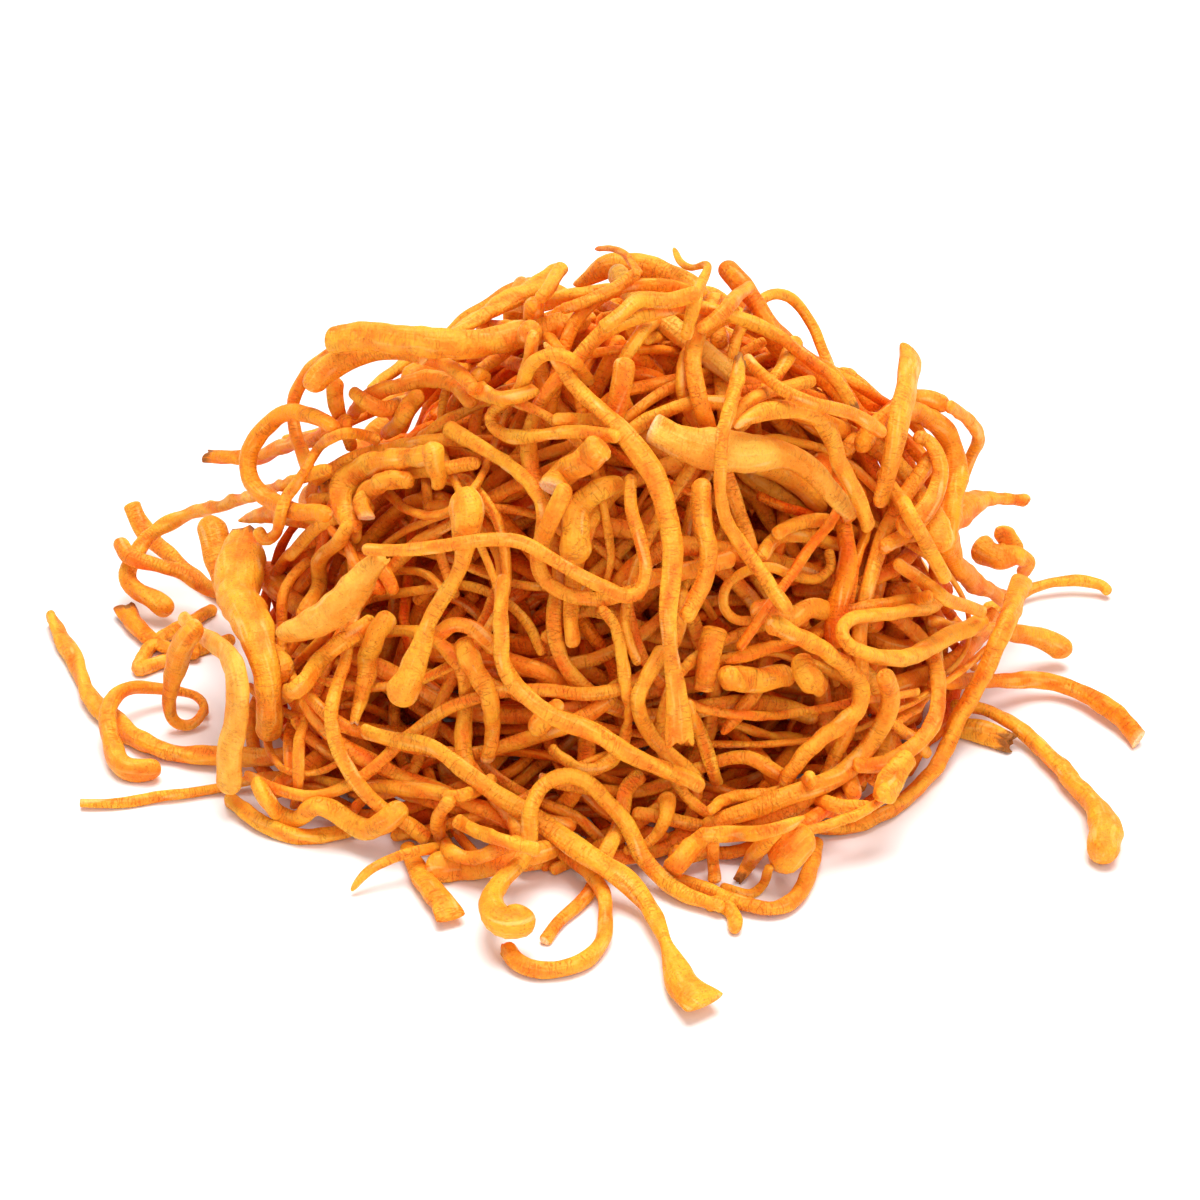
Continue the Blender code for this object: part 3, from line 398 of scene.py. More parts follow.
# %% Routes of the second layer, in picture points, the deepest first
# name: (route, widths from the first end to the last, how far behind the heap's middle it may go in mm);
# a number below nothing keeps it that far in front of the middle
SECOND_LAYER = {
    "withered_v": ([(215, 607), (190, 622), (160, 640), (143, 655), (138, 671), (150, 665), (168, 660),
        (200, 648), (235, 640)], (13, 15, 15), 60),
    "lumpy_low": ([(255, 780), (262, 792), (272, 806), (298, 818), (316, 808), (335, 812), (352, 820),
        (370, 828), (390, 820), (405, 806)], (15, 17, 20, 22), 0),
    "stub_tip": ([(238, 521), (262, 515), (285, 516), (310, 521), (336, 529), (360, 536)],
        (8, 17, 17, 16), 6),
    "under_left": ([(287, 560), (300, 545), (315, 530), (332, 520), (350, 512), (372, 508)], (13, 13, 14), 2),
    "arc_high_left": ([(350, 414), (373, 396), (406, 383), (437, 378), (457, 388), (475, 406)],
        (13, 16, 16, 16), 0),
    "post_high_left": ([(336, 378), (336, 403), (346, 432), (352, 450)], (18, 15, 12), 2),
    "club_high_left": ([(352, 392), (368, 402), (382, 408), (402, 404), (424, 398)], (13, 18, 17, 12), 3),
    "two_ways_left": ([(384, 435), (398, 424), (410, 404), (420, 392)], (12, 15, 15), 3),
    "long_left": ([(311, 483), (349, 460), (400, 447), (430, 441), (470, 440)], (14, 14, 14, 13), -4),
    "long_left_low": ([(308, 500), (345, 497), (380, 480), (430, 470), (480, 462)], (14, 15, 13), -4),
    "big_bend_left": ([(430, 455), (395, 460), (362, 467), (341, 490), (344, 513), (359, 531)],
        (20, 23, 23, 22), -6),
    "cut_hook_left": ([(367, 518), (362, 500), (380, 483), (413, 480)], (16, 20, 20, 16), -8),
    "behind_crescent": ([(300, 620), (318, 585), (320, 560), (335, 545), (350, 520)], (14, 15, 13), -4),
    "under_crescent": ([(270, 700), (295, 690), (320, 660), (345, 640), (375, 620)], (16, 18, 17), -8),
    "low_left_stem": ([(387, 612), (372, 647), (367, 673), (357, 709), (354, 724)], (20, 20, 17, 8), -14),
    "knob_crest": ([(536, 300), (548, 288), (556, 278), (563, 267)], (12, 14, 15), 15),
    "fine_tip_crest": ([(595, 249), (612, 249), (625, 254), (631, 262), (640, 275)], (5, 7, 8), 17),
    "fine_stem_crest": ([(674, 248), (681, 262), (693, 268), (706, 265), (698, 292), (690, 318), (685, 340)],
        (6, 7, 10, 13), 12),
    "crest_stem_a": ([(560, 310), (590, 300), (620, 285), (640, 272)], (10, 12, 12), 12),
    "crest_stem_b": ([(600, 330), (625, 312), (640, 300), (668, 300), (700, 292)], (13, 15, 14), 9),
    "crest_stem_c": ([(700, 330), (725, 310), (738, 295), (752, 285)], (13, 14, 13), 8),
    "shoulder_a": ([(948, 403), (925, 399), (900, 404), (878, 418), (860, 435), (845, 455)],
        (17, 17, 16, 14), 9),
    "shoulder_b": ([(948, 406), (967, 418), (978, 437), (971, 458), (963, 478)], (13, 13, 12), 14),
    "shoulder_c": ([(913, 436), (930, 443), (940, 465), (936, 493), (920, 515), (900, 530)],
        (13, 16, 20, 25), 6),
    "knuckle_right": ([(1000, 527), (1006, 541), (1018, 554)], (22, 20, 15), 18),
    "knot_right": ([(976, 545), (988, 553), (1005, 558), (1018, 556), (1028, 562), (1020, 575)],
        (30, 27, 16, 14), 18),
    "right_flank_a": ([(880, 470), (900, 500), (925, 540), (945, 580)], (14, 16, 14), 8),
    "right_flank_b": ([(895, 560), (920, 580), (950, 600), (985, 612)], (12, 13, 12), 10),
    "side_stub": ([(552, 419), (575, 420), (598, 419), (625, 425)], (12, 13, 12), 0),
    "kinked_loop": ([(590, 383), (576, 360), (547, 355), (529, 368), (519, 388), (500, 405), (489, 418),
        (500, 431), (533, 437), (572, 432), (600, 431), (620, 437)], (12, 13, 13, 13), 0),
    "ball_top_left": ([(483, 368), (477, 386), (490, 396), (510, 396), (535, 390)], (24, 15, 13, 13), 0),
    "knee_stem": ([(445, 426), (468, 439), (493, 455), (519, 472), (536, 492), (543, 515), (540, 535)],
        (18, 13, 13, 12), -2),
    "bud_over_bulb": ([(429, 442), (434, 465), (440, 487)], (24, 17, 12), -6),
    "club_centre": ([(577, 563), (574, 535), (578, 508), (597, 492), (620, 484)], (28, 27, 21, 16), -8),
    "cut_stub_centre": ([(602, 447), (585, 460), (563, 475), (552, 490)], (28, 26, 24), -4),
    "coil_centre": ([(567, 484), (556, 510), (543, 538), (537, 562), (548, 583), (572, 595), (605, 599),
        (640, 590)], (17, 16, 13, 13), -6),
    "cross_centre": ([(735, 558), (700, 566), (660, 577), (635, 585)], (18, 18, 17), -8),
    "flat_fold_right": ([(852, 548), (829, 543), (809, 534), (788, 535), (770, 545), (760, 560)],
        (14, 15, 14), -4),
    "flat_fold_right_upper": ([(775, 535), (788, 527), (819, 520), (852, 530), (866, 537)], (12, 14, 12), -4),
    "hook_right": ([(829, 549), (832, 567), (819, 579), (793, 575), (770, 568), (742, 573), (725, 588),
        (724, 608), (737, 620), (752, 620)], (10, 10, 10, 10), -6),
    "lumpy_bud_right": ([(752, 615), (770, 612), (790, 618), (812, 608), (834, 613), (872, 607), (911, 600),
        (932, 596)], (24, 20, 15, 12, 12), -6),
    "thin_low_right": ([(812, 778), (793, 788), (770, 794), (742, 796), (720, 802), (708, 813)],
        (16, 14, 12, 12, 10), -10),
    "peg_a": ([(716, 627), (710, 652), (702, 690)], (22, 22, 20), -10),
    "peg_b": ([(722, 676), (758, 681), (795, 673)], (24, 26, 22), -10),
    "peg_c": ([(801, 655), (810, 678), (822, 690)], (24, 24, 20), -8),
    "long_loop_centre": ([(600, 607), (613, 624), (621, 652), (626, 688), (628, 719), (621, 747), (605, 765),
        (588, 770), (567, 760), (549, 747)], (11, 11, 12, 11), -14),
    "bow_centre": ([(662, 647), (649, 673), (639, 698), (644, 724), (659, 747), (679, 762), (700, 780)],
        (14, 14, 14, 13), -14),
    "pale_cut_left": ([(460, 640), (475, 668), (488, 698), (493, 729), (487, 760)], (24, 20, 16, 14), -14),
    "hook_low_left": ([(494, 777), (475, 790), (455, 796), (442, 795)], (12, 13, 12), -16),
    "stalk_low_centre": ([(688, 700), (698, 730), (708, 755), (718, 785)], (12, 12, 11), -14),
    "bend_left_centre": ([(438, 633), (452, 625), (470, 628), (485, 640), (497, 652)], (15, 15, 15), -12),
    "bud_low_centre": ([(664, 793), (668, 812), (660, 832), (645, 845), (625, 850)], (20, 13, 10, 10), -16),
    "knob_centre": ([(532, 734), (545, 720), (560, 700)], (26, 20, 12), -14),
    "long_low_front": ([(543, 941), (557, 924), (577, 906), (593, 883), (608, 852), (618, 819), (627, 790),
        (645, 776)], (12, 13, 15, 15), 0),
    "big_bud_front": ([(777, 866), (785, 854), (797, 841), (810, 828)], (20, 32, 35, 26), -10),
    "thin_under_bud": ([(770, 866), (763, 884), (752, 893), (736, 891), (720, 886)], (9, 9, 8), 0),
    "front_right_tip": ([(705, 905), (722, 905), (733, 915), (737, 932)], (13, 14, 12), 0),
    "round_bud_front": ([(668, 858), (690, 856), (712, 846)], (27, 18, 14), 0),
    "short_front": ([(712, 830), (712, 842), (714, 860), (715, 884)], (12, 12, 12), 0),
    "bud_front": ([(668, 872), (680, 860), (695, 845), (708, 828)], (14, 19, 20, 16), 0),
    "dark_tip_front": ([(737, 880), (746, 868), (757, 852), (770, 838), (780, 828)], (9, 14, 16, 14, 11), 0),
    "lower_edge_front": ([(806, 816), (790, 825), (768, 831), (745, 834), (722, 835), (702, 834)],
        (8, 12, 14, 15, 13), 0),
    "club_front_left": ([(425, 869), (452, 868), (488, 864), (521, 858), (553, 850)], (28, 24, 20, 18), 0),
    "curl_front_left": ([(452, 797), (438, 822), (444, 845), (468, 857), (503, 849), (523, 841)],
        (14, 14, 14), -6),
    "short_front_left": ([(455, 820), (480, 832), (507, 842), (540, 850)], (14, 14, 13), -6),
    "right_foot": ([(911, 754), (895, 775), (880, 800)], (18, 25, 22), 0),
    "brown_blade": ([(955, 728), (985, 733), (1012, 743)], (18, 24, 20), 20),
    "hook_arc": ([(258, 527), (265, 540), (278, 530), (281, 512), (284, 500), (295, 485), (306, 467),
        (322, 445), (345, 433), (365, 434), (380, 442)], (12, 12, 10, 10, 11), -2),
}


def traced(route, widths):
    """A strand's points in the picture and its radii, at even steps along its route."""
    seen = softened(hermite(route, POINTS, 2)[None], 3)[0]
    radius = np.interp(ALONG, np.linspace(0, 1, len(widths)), widths) * PIXEL / 2
    return seen, softened(radius[None], 6)[0]


laid = []


def lay(seen, radius, back, sink, view):
    """Lays a strand so that along its lines of sight it rests on what was laid before it.

    It goes back until it meets the table, the sunken dome, a strand or the upright plane that lies
    back millimetres behind the heap's middle. The result is its rays and the distances along them.
    """
    spacing = np.linalg.norm(np.diff(seen, axis=0), axis=1).sum() * PIXEL / (POINTS - 1)
    rays = sight_rays(seen, view)
    level = unit(view["ahead"] * [1, 1, 0])
    plane = (back * MM + (HEAP_MIDDLE - view["eye"]) @ level) / (rays @ level)
    limit = np.minimum(table_reach(rays, radius, view), heap_reach(rays, radius, sink, view))
    limit = np.minimum(limit, plane)
    if laid:
        points = np.concatenate([other["eye"] + other["course"][:, None] * other["rays"] for other in laid])
        reach = np.concatenate([other["radius"] for other in laid])
        limit = np.minimum(limit, strands_reach(rays, radius, points, reach, view))
    floor_course = table_reach(rays, radius, view)
    course = springy(limit, spacing)
    laid.append({"eye": view["eye"], "rays": rays, "course": course, "radius": radius, "floor": floor_course})


# %% [markdown]
# Behind these there are more, of which only short stretches show. Those are walks over the picture
# with a wandering bend, kept inside the heap's outline and clear of the few gaps on the upper left
# where daylight shows through. One after another is chosen so that it crosses the places where the
# fewest strands lie so far. The sides and the back get theirs in the same way, as seen from three
# points behind the heap, and those may trail out onto the table.

# %% Walks over the picture
OUTLINE = np.array([
    (262, 560), (268, 530), (300, 490), (340, 455), (430, 432), (440, 395), (420, 352), (480, 330),
    (540, 300), (600, 285), (660, 282), (720, 290), (790, 330), (850, 378), (905, 415), (940, 450),
    (935, 520), (960, 590), (1000, 612), (985, 665), (955, 705), (930, 765), (890, 812), (850, 828),
    (800, 842), (740, 852), (680, 864), (600, 860), (540, 872), (480, 866), (430, 852), (350, 826),
    (290, 808), (245, 785), (240, 700), (262, 640),
])  # picture points round the part of the heap where no background shows
# The gaps where daylight shows: their place in the picture and their radius.
DAYLIGHT = np.array([(379, 373, 24), (364, 417, 18), (361, 391, 9), (410, 424, 13), (313, 398, 20)])
CELL = 8
IN_A_ROW = PICTURE // CELL
BESIDE = np.array([(0, 0), (6, 0), (-6, 0), (0, 6), (0, -6)])  # a strand hides this much to either side
rng = np.random.default_rng(12)


def inside_outline(seen):
    """Whether points lie in the outline: a level line from each crosses it an odd number of times."""
    x, y = seen[..., 0:1], seen[..., 1:2]
    (x0, y0), (x1, y1) = OUTLINE.T, np.roll(OUTLINE, -1, axis=0).T
    with np.errstate(divide="ignore", invalid="ignore"):
        crossing = x0 + (y - y0) * (x1 - x0) / (y1 - y0)
    return (((y0 > y) != (y1 > y)) & (x < crossing)).sum(axis=-1) % 2 == 1


# What a walk is made of: lengths in picture points, turns in radians.
WALKS = 9000
WALK_LENGTHS = (300, 620)
STEADY_TURN = 1.6
WAVE_TURNS, WAVE_PHASES = (0.1, 0.7), (3, 9)
KINKS, KINK_TURN, KINK_LENGTH = 5, 0.2, 0.04


def wander(walks):
    """Walks over the picture: the heading turns steadily, plus a slow wave and a few sudden kinks."""
    start = rng.uniform(OUTLINE.min(axis=0), OUTLINE.max(axis=0), (walks, 1, 2))
    length = rng.uniform(*WALK_LENGTHS, (walks, 1))
    turn = rng.normal(0, STEADY_TURN, (walks, 1)) * ALONG + rng.uniform(*WAVE_TURNS, (walks, 1)) * np.sin(
        ALONG * rng.uniform(*WAVE_PHASES, (walks, 1)) + rng.uniform(0, 6, (walks, 1))
    )
    kink_size = rng.normal(0, KINK_TURN, (walks, KINKS, 1))
    past_kink = (ALONG - rng.uniform(0.05, 0.95, (walks, KINKS, 1))) / KINK_LENGTH
    kinks = kink_size * np.clip(past_kink + 0.5, 0, 1)
    heading = rng.uniform(0, 2 * math.pi, (walks, 1)) + turn + kinks.sum(axis=1)
    stride = (length / POINTS)[..., None] * np.stack([np.cos(heading), np.sin(heading)], axis=-1)
    return start + np.cumsum(stride, axis=1)


def cells_of(seen):
    """The numbers of the picture's cells that strands along these points hide."""
    at = np.clip((seen[..., None, :] + BESIDE) // CELL, 0, IN_A_ROW - 1).astype(int)
    return (at[..., 1] * IN_A_ROW + at[..., 0]).reshape(*seen.shape[:-2], -1)


def pick(walks, count, cover):
    """Chooses walks one by one: each time the one that crosses the cells with the lowest cover."""
    walk_cells = cells_of(walks)
    chosen = []
    for _ in range(count):
        best = np.argmax((1 / (1 + cover[walk_cells]) ** 2).mean(axis=1))
        chosen.append(walks[best])
        cover += np.bincount(walk_cells[best], minlength=len(cover))
    return chosen


THINNED = 1 - 0.25 * ALONG  # a stalk thins towards its foot
HEAD_FORM = np.clip(1 - ALONG / 0.16, 0, 1) ** 0.7  # a head is thickest at the tip
STALK_SIZES = (0.7, 1.35)  # how thick stalks are against the usual width
HEADED = 0.3  # the share of strands with a head
HEAD_SIZES = (0.4, 0.9)  # how much thicker than the stalk


def stalks(widths):
    """Radii along strands: a stalk that thins towards its foot, and on some a swollen head at the tip."""
    width = widths * rng.uniform(*STALK_SIZES, widths.shape) * THINNED
    head = (rng.random(widths.shape) < HEADED) * rng.uniform(*HEAD_SIZES, widths.shape)
    return softened(width * (1 + head * HEAD_FORM) * PIXEL / 2, 3)


# %% Filling the front
# Depth below the dome in mm, number of strands and their width in picture points, the deepest first.
FILLINGS = [(25, 36, 18.0), (18, 42, 17.0), (12, 46, 15.0)]
second_routes = [traced(route, widths) for route, widths, _ in SECOND_LAYER.values()]
shown = np.concatenate([picture_points(outer["centre"]).reshape(-1, 2), *[seen for seen, _ in second_routes]])
cover = np.bincount(cells_of(shown[None])[0], minlength=IN_A_ROW**2).astype(float)
walks = wander(WALKS)
clear = (np.linalg.norm(walks[:, :, None] - DAYLIGHT[:, :2], axis=3) > DAYLIGHT[:, 2]).all(axis=(1, 2))
walks = walks[clear & inside_outline(walks).all(axis=1)]
for depth, count, width in FILLINGS:
    chosen = pick(walks, count, cover)
    for seen, radius in zip(chosen, stalks(np.full((count, 1), width))):
        lay(seen, radius, 0, depth * MM, FRONT)
FILLING = len(laid)
down, across = np.divmod(np.arange(len(cover)), IN_A_ROW)
in_outline = inside_outline(np.stack([across + 0.5, down + 0.5], axis=-1) * CELL)
print("walks to choose from:", len(walks))
print("share of the outline still open:", round((cover[in_outline] == 0).mean(), 4))

# %% The sides and the back
FAR_AZIMUTHS = (128, 180, 232)
FAR_ELEVATION = 38
FAR_WIDTH = 15.5
FAR_SINKS = [(8, 12), (0.5, 12)]  # depth below the dome in mm and number of strands, from each point
FOOT = np.array([67.0, 61.0]) * MM  # no strand trails further out than this from the heap's middle
ON_TABLE = 4 * MM  # what is lower than this lies on the table
LYING = 0.3  # the largest share of such a strand that may lie on the table
CLEARANCE = 5 * MM  # how much lower than the front view's outline the strand has to stay
IN_FRONT = 4 * MM  # how far in front of the heap's middle it may come
NO_END = 1000  # behind the heap's middle in mm: so far that it holds nothing back
for azimuth in FAR_AZIMUTHS:
    view = view_from(azimuth, FAR_ELEVATION)
    walks = wander(WALKS)
    rays = sight_rays(walks, view)
    thin = np.full(rays.shape[:-1], FAR_WIDTH * PIXEL / 2)
    landing = np.minimum(table_reach(rays, thin, view), heap_reach(rays, thin, 0, view))
    ends_at = view["eye"] + landing[..., None] * rays
    near_foot = np.linalg.norm((ends_at - HEAP_MIDDLE)[..., :2] / FOOT, axis=-1) < 1
    climbing = (ends_at[..., 2] < ON_TABLE).mean(axis=1) < LYING
    behind = ends_at[..., 1] > HEAP_MIDDLE[1] - IN_FRONT
    likely = (near_foot & behind).all(axis=1) & climbing
    hidden = inside_outline(picture_points(ends_at[likely] + [0, 0, CLEARANCE])).all(axis=1)
    walks = walks[likely][hidden]
    cover = np.zeros(IN_A_ROW**2)
    for sink, count in FAR_SINKS:
        chosen = pick(walks, count, cover)
        for seen, radius in zip(chosen, stalks(np.full((count, 1), FAR_WIDTH))):
            lay(seen, radius, NO_END, sink * MM, view)
    print("seen from", azimuth, "walks to choose from:", len(walks))
FAR = len(laid) - FILLING

# %% The traced ones, over the filling
for (seen, radius), (_, _, back) in zip(second_routes, SECOND_LAYER.values()):
    lay(seen, radius, back, SINK, FRONT)
print("strands laid by sight:", len(laid))

# %% [markdown]
# ## Strands inside the heap
# Further in, the strands can't be told apart from outside, so they are grown: each sets off from
# a random place on a shell below the heap's surface and walks along that shell with a slowly
# changing bend. The shells lie one inside the other. Where the front view shows the second layer,
# the outer shells stay nearly empty, and a few gaps on the upper left, where daylight shows through
# the heap, are kept open.

# %% Growing the inner strands
DOME = HEAP_SIZE / MM
BED = np.array([42.0, 35.0, 4.0])  # the lowest ones, which lie on the table
# Half sizes in mm, number of strands, and whether they keep away from the front.
SHELLS = [
    (DOME - 3.4, 60, True), (DOME - 7.5, 38, True), (DOME - 12.5, 24, False), (DOME - 22.0, 30, False),
    (BED, 36, False),
]
CANDIDATES = 5
GROWN_LENGTHS = (50, 100)  # in mm
STEADY_BEND, SWAYS = 22, (10, 45)  # in radians a metre
GROWN_KINK, KINK_CHANCE = 0.3, 0.08  # in radians, and the share of steps that have one
LOWEST = 1.6 * MM
HUMP = 1.5 * MM  # how far a strand waves in and out of its shell
# How much it counts that a walk blocks daylight, trails over the table or leaves the outline.
BLOCKS, TRAILS, STRAYS = 2, 1.5, 3
TO_THE_EYE = 0.2  # how far a shell's normal leans to the eye where its front begins
GROWN_STEMS = (0.9, 1.5)  # radii in mm
GROWN_HEADED, GROWN_HEADS = 0.35, (1.4, 1.9)  # the share with a head, and its size against the stem


def grow(half_sizes, count, away_from_front):
    """Random walks on a shell: at each step the heading turns by the bend, then the point is put back on
    the shell. Of several times as many walks, those seen least from the front are kept.
    """
    walks = count * CANDIDATES
    size = half_sizes * MM
    angle = rng.uniform(0, 2 * math.pi, walks)
    height = rng.uniform(0.03, 1.0, walks)
    level = np.sqrt(1 - height**2)
    point = np.column_stack([level * np.cos(angle), level * np.sin(angle), height]) * size
    heading = unit(rng.normal(size=(walks, 3)))
    stride = rng.uniform(*GROWN_LENGTHS, walks) * MM / (POINTS - 1)
    bend = rng.normal(0, STEADY_BEND, walks)
    sway = rng.uniform(*SWAYS, walks)
    sway_phase = rng.uniform(0, 2 * math.pi, walks)
    points = np.empty((walks, POINTS, 3))
    for i in range(POINTS):
        normal = unit(point / size**2)
        heading = unit(heading - (heading * normal).sum(1)[:, None] * normal)
        points[:, i] = point
        kink = rng.normal(0, GROWN_KINK, walks) * (rng.random(walks) < KINK_CHANCE)
        turn = (bend + sway * np.sin(sway_phase + i * 5.0 / POINTS)) * stride + kink
        heading = heading * np.cos(turn)[:, None] + np.cross(normal, heading) * np.sin(turn)[:, None]
        point = point + heading * stride[:, None]
        point[:, 2] = np.abs(point[:, 2] - LOWEST) + LOWEST
        point = point / np.linalg.norm(point / size, axis=1)[:, None]
    wave = HUMP * np.sin(np.linspace(0, 9, POINTS) + rng.uniform(0, 6, walks)[:, None])
    points = points * (1 - wave / HEAP_SIZE[2])[:, :, None]
    seen = picture_points(points + HEAP_MIDDLE)
    apart = np.linalg.norm(seen[:, :, None] - DAYLIGHT[:, :2], axis=3) < DAYLIGHT[:, 2]
    blocked = apart.any(axis=(1, 2)).astype(float)
    trails = 0 if half_sizes is BED else (points[..., 2] < ON_TABLE).mean(axis=1)
    outside = (~inside_outline(seen)).mean(axis=1)
    score = BLOCKS * blocked + TRAILS * trails + STRAYS * outside
    if away_from_front:
        score = score + (unit(points / size**2) @ -FRONT["ahead"] > TO_THE_EYE).mean(axis=1)
    else:
        score = score + 0.2 * rng.random(walks)
    return points[np.argsort(score)[:count]] + HEAP_MIDDLE


grown = np.concatenate([grow(*shell) for shell in SHELLS])
per_strand = (len(grown), 1)
stem = rng.uniform(*GROWN_STEMS, per_strand) * MM
head = stem * np.where(rng.random(per_strand) < GROWN_HEADED, rng.uniform(*GROWN_HEADS, per_strand), 1.0)
grown_radius = stem * THINNED + (head - stem) * HEAD_FORM
print("grown strands:", len(grown))

# %% [markdown]
# ## Making room
# Strands can't pass through each other. All pairs of points that are too close are found with a
# grid of cells, and pushed apart a little, again and again. Strands that come from the solids stay
# where they are. Those laid by sight slide along their lines of sight only, so they keep their
# place in the picture, and the grown ones give way freely but stay inside the heap.

# %% Finding close pairs
def close_pairs(points, reach):
    """All pairs of points nearer than reach.

    The points are sorted by cell, then each cell's neighbours are looked up.
    """
    cell = np.floor((points - points.min(axis=0)) / reach).astype(np.int64) + 1
    row = cell[:, 1].max() + 2
    slab = row * (cell[:, 2].max() + 2)
    key = cell[:, 0] * slab + cell[:, 2] * row + cell[:, 1]
    order = np.argsort(key, kind="stable")
    ranked = key[order]
    nearby = [(x, y, z) for x in (-1, 0, 1) for y in (-1, 0, 1) for z in (-1, 0, 1) if (x, y, z) >= (0, 0, 0)]
    here, there = [], []
    for x, y, z in nearby:
        wanted = key + x * slab + z * row + y
        first = np.searchsorted(ranked, wanted, "left")
        count = np.searchsorted(ranked, wanted, "right") - first
        i = np.repeat(np.arange(len(points)), count)
        j = order[np.repeat(first - np.cumsum(count) + count, count) + np.arange(count.sum())]
        keep = (i != j) & ((x, y, z) != (0, 0, 0)) | (i < j)
        here.append(i[keep])
        there.append(j[keep])
    here, there = np.concatenate(here), np.concatenate(there)
    near = ((points[here] - points[there]) ** 2).sum(axis=1) < reach**2
    return here[near], there[near]


# %% What may move
sliding_course, sliding_radius, sliding_rays, sliding_floor = (
    np.array([strand[key] for strand in laid]) for key in ("course", "radius", "rays", "floor")
)
sliding_eye = np.array([strand["eye"] for strand in laid])[:, None, :]
FIXED, SLIDING, FREE = 0, 1, 2
n_outer, n_sliding, n_grown = len(names), len(sliding_course), len(grown)
kind = np.repeat([FIXED, SLIDING, FREE], [n_outer * POINTS, n_sliding * POINTS, n_grown * POINTS])
owner = np.repeat(np.arange(n_outer + n_sliding + n_grown), POINTS)
radius = np.concatenate([outer["wide"].ravel(), sliding_radius.ravel(), grown_radius.ravel()])
eye_of = np.full((len(owner), 3), FRONT["eye"])
eye_of[kind == SLIDING] = np.repeat(sliding_eye[:, 0], POINTS, axis=0)
# The few traced strands that lie over the uppermost ones.
OVER = ("hook_arc", "kinked_loop", "bud_over_bulb")
traced_names = [None] * (n_outer + FILLING + FAR) + list(SECOND_LAYER) + [None] * n_grown
over = np.array([name in OVER for name in traced_names])[owner]
print("points that may move:", int((kind != FIXED).sum()), "of", len(kind))


# %% Pushing apart
def overlapping(points):
    """Pairs of points of different strands that come too close, the way between them, and by how much.

    Pairs of which both stay where they are don't count.
    """
    i, j = close_pairs(points, 2 * radius.max() + GAP)
    keep = (owner[i] != owner[j]) & ((kind[i] != FIXED) | (kind[j] != FIXED))
    i, j = i[keep], j[keep]
    apart = points[j] - points[i]
    distance = np.linalg.norm(apart, axis=1)
    overlap = np.maximum(radius[i] + radius[j] + GAP - distance, 0)
    touching = overlap > 0
    away = apart[touching] / np.maximum(distance[touching], 1e-6)[:, None]
    return i[touching], j[touching], away, overlap[touching]


def pushes(points, i, j, away, overlap):
    """How far each point moves: the mean of what its pairs ask for.

    Two points that may move alike share an overlap, and otherwise the freer one makes all the room.
    """
    share = np.where(kind[i] < kind[j], 1.0, np.where(kind[i] > kind[j], 0.0, 0.5))
    push, count = np.zeros_like(points), np.zeros(len(points))
    for a, b, part, sign in ((i, j, 1 - share, -1), (j, i, share, 1)):
        # A sliding strand goes behind an uppermost one, and behind a later one of its own kind.
        behind = np.where(kind[b] == FIXED, np.where(over[a], -1, 1), np.where(owner[a] < owner[b], 1, -1))
        by_sight = unit(points[a] - eye_of[a]) * behind[:, None]
        move = np.where((kind[a] == SLIDING)[:, None], by_sight, away * sign) * (overlap * part)[:, None]
        for axis in range(3):
            push[:, axis] += np.bincount(a, move[:, axis], len(points))
        count += np.bincount(a, part > 0, len(points))
    return push / np.maximum(count, 1)[:, None]


# %% Relaxing
ROUNDS = 38
first_course, first_grown = sliding_course.copy(), grown.copy()
slid, shifted = np.zeros_like(sliding_course), np.zeros_like(grown)
for _ in range(ROUNDS):
    sliding = sliding_eye + sliding_course[..., None] * sliding_rays
    points = np.concatenate([outer["centre"].reshape(-1, 3), sliding.reshape(-1, 3), grown.reshape(-1, 3)])
    i, j, away, overlap = overlapping(points)
    push = pushes(points, i, j, away, overlap)
    slide = (push[kind == SLIDING].reshape(n_sliding, POINTS, 3) * sliding_rays).sum(axis=2)
    slid = softened(slid + softened(slide, 4), 1)
    sliding_course = np.minimum(first_course + slid, sliding_floor)
    shifted = softened(shifted + softened(push[kind == FREE].reshape(n_grown, POINTS, 3), 3), 1)
    grown = first_grown + shifted
    # The grown strands stay under the dome and on the table.
    local = (grown - HEAP_MIDDLE) / (HEAP_SIZE - grown_radius[..., None] - GAP)
    grown = (grown - HEAP_MIDDLE) / np.maximum(np.linalg.norm(local, axis=2), 1)[..., None] + HEAP_MIDDLE
    grown[..., 2] = np.maximum(grown[..., 2], grown_radius)
    shifted = grown - first_grown
print("pairs still overlapping by over 0.3 mm:", int((overlap > 0.3 * MM).sum()), "of", len(overlap))


# %% [markdown]
# ## The surface of a strand
# Seen close, a fruiting body is a lumpy rod: slow swellings, shallow grooves that run along it,
# and an end that is round, tapered, torn, or cut across where it was trimmed. The surface is a
# function of two parameters, the place along the strand and the angle round it. Rings close
# together at both ends follow the profile of the end's kind.

# %% End profiles: distance from the tip and share of the radius, both in radii, and the tip's own depth
quarter = np.radians([14, 28, 41, 54, 66, 78, 90])
ENDS = {
    "round": (0.0, np.column_stack([1 - np.cos(quarter), np.sin(quarter)])),
    "blunt": (0.0, np.column_stack([0.32 * (1 - np.cos(quarter)), np.sin(quarter) ** 0.6])),
    "taper": (0.0, [(0.06, 0.16), (0.3, 0.38), (0.8, 0.56), (1.5, 0.72), (2.4, 0.85), (3.4, 0.94), (4.6, 1)]),
    "cut": (0.16, [(0.12, 0.45), (0.02, 0.78), (0, 0.9), (0.05, 0.98), (0.16, 1.02), (0.4, 1), (0.8, 1)]),
    "torn": (0.5, [(0.45, 0.4), (0.25, 0.68), (0, 0.84), (0.1, 0.94), (0.3, 1.0), (0.7, 1), (1.2, 1)]),
}
KINDS = list(ENDS)
TIPS = np.array([tip for tip, _ in ENDS.values()])
PROFILES = np.array([profile for _, profile in ENDS.values()])
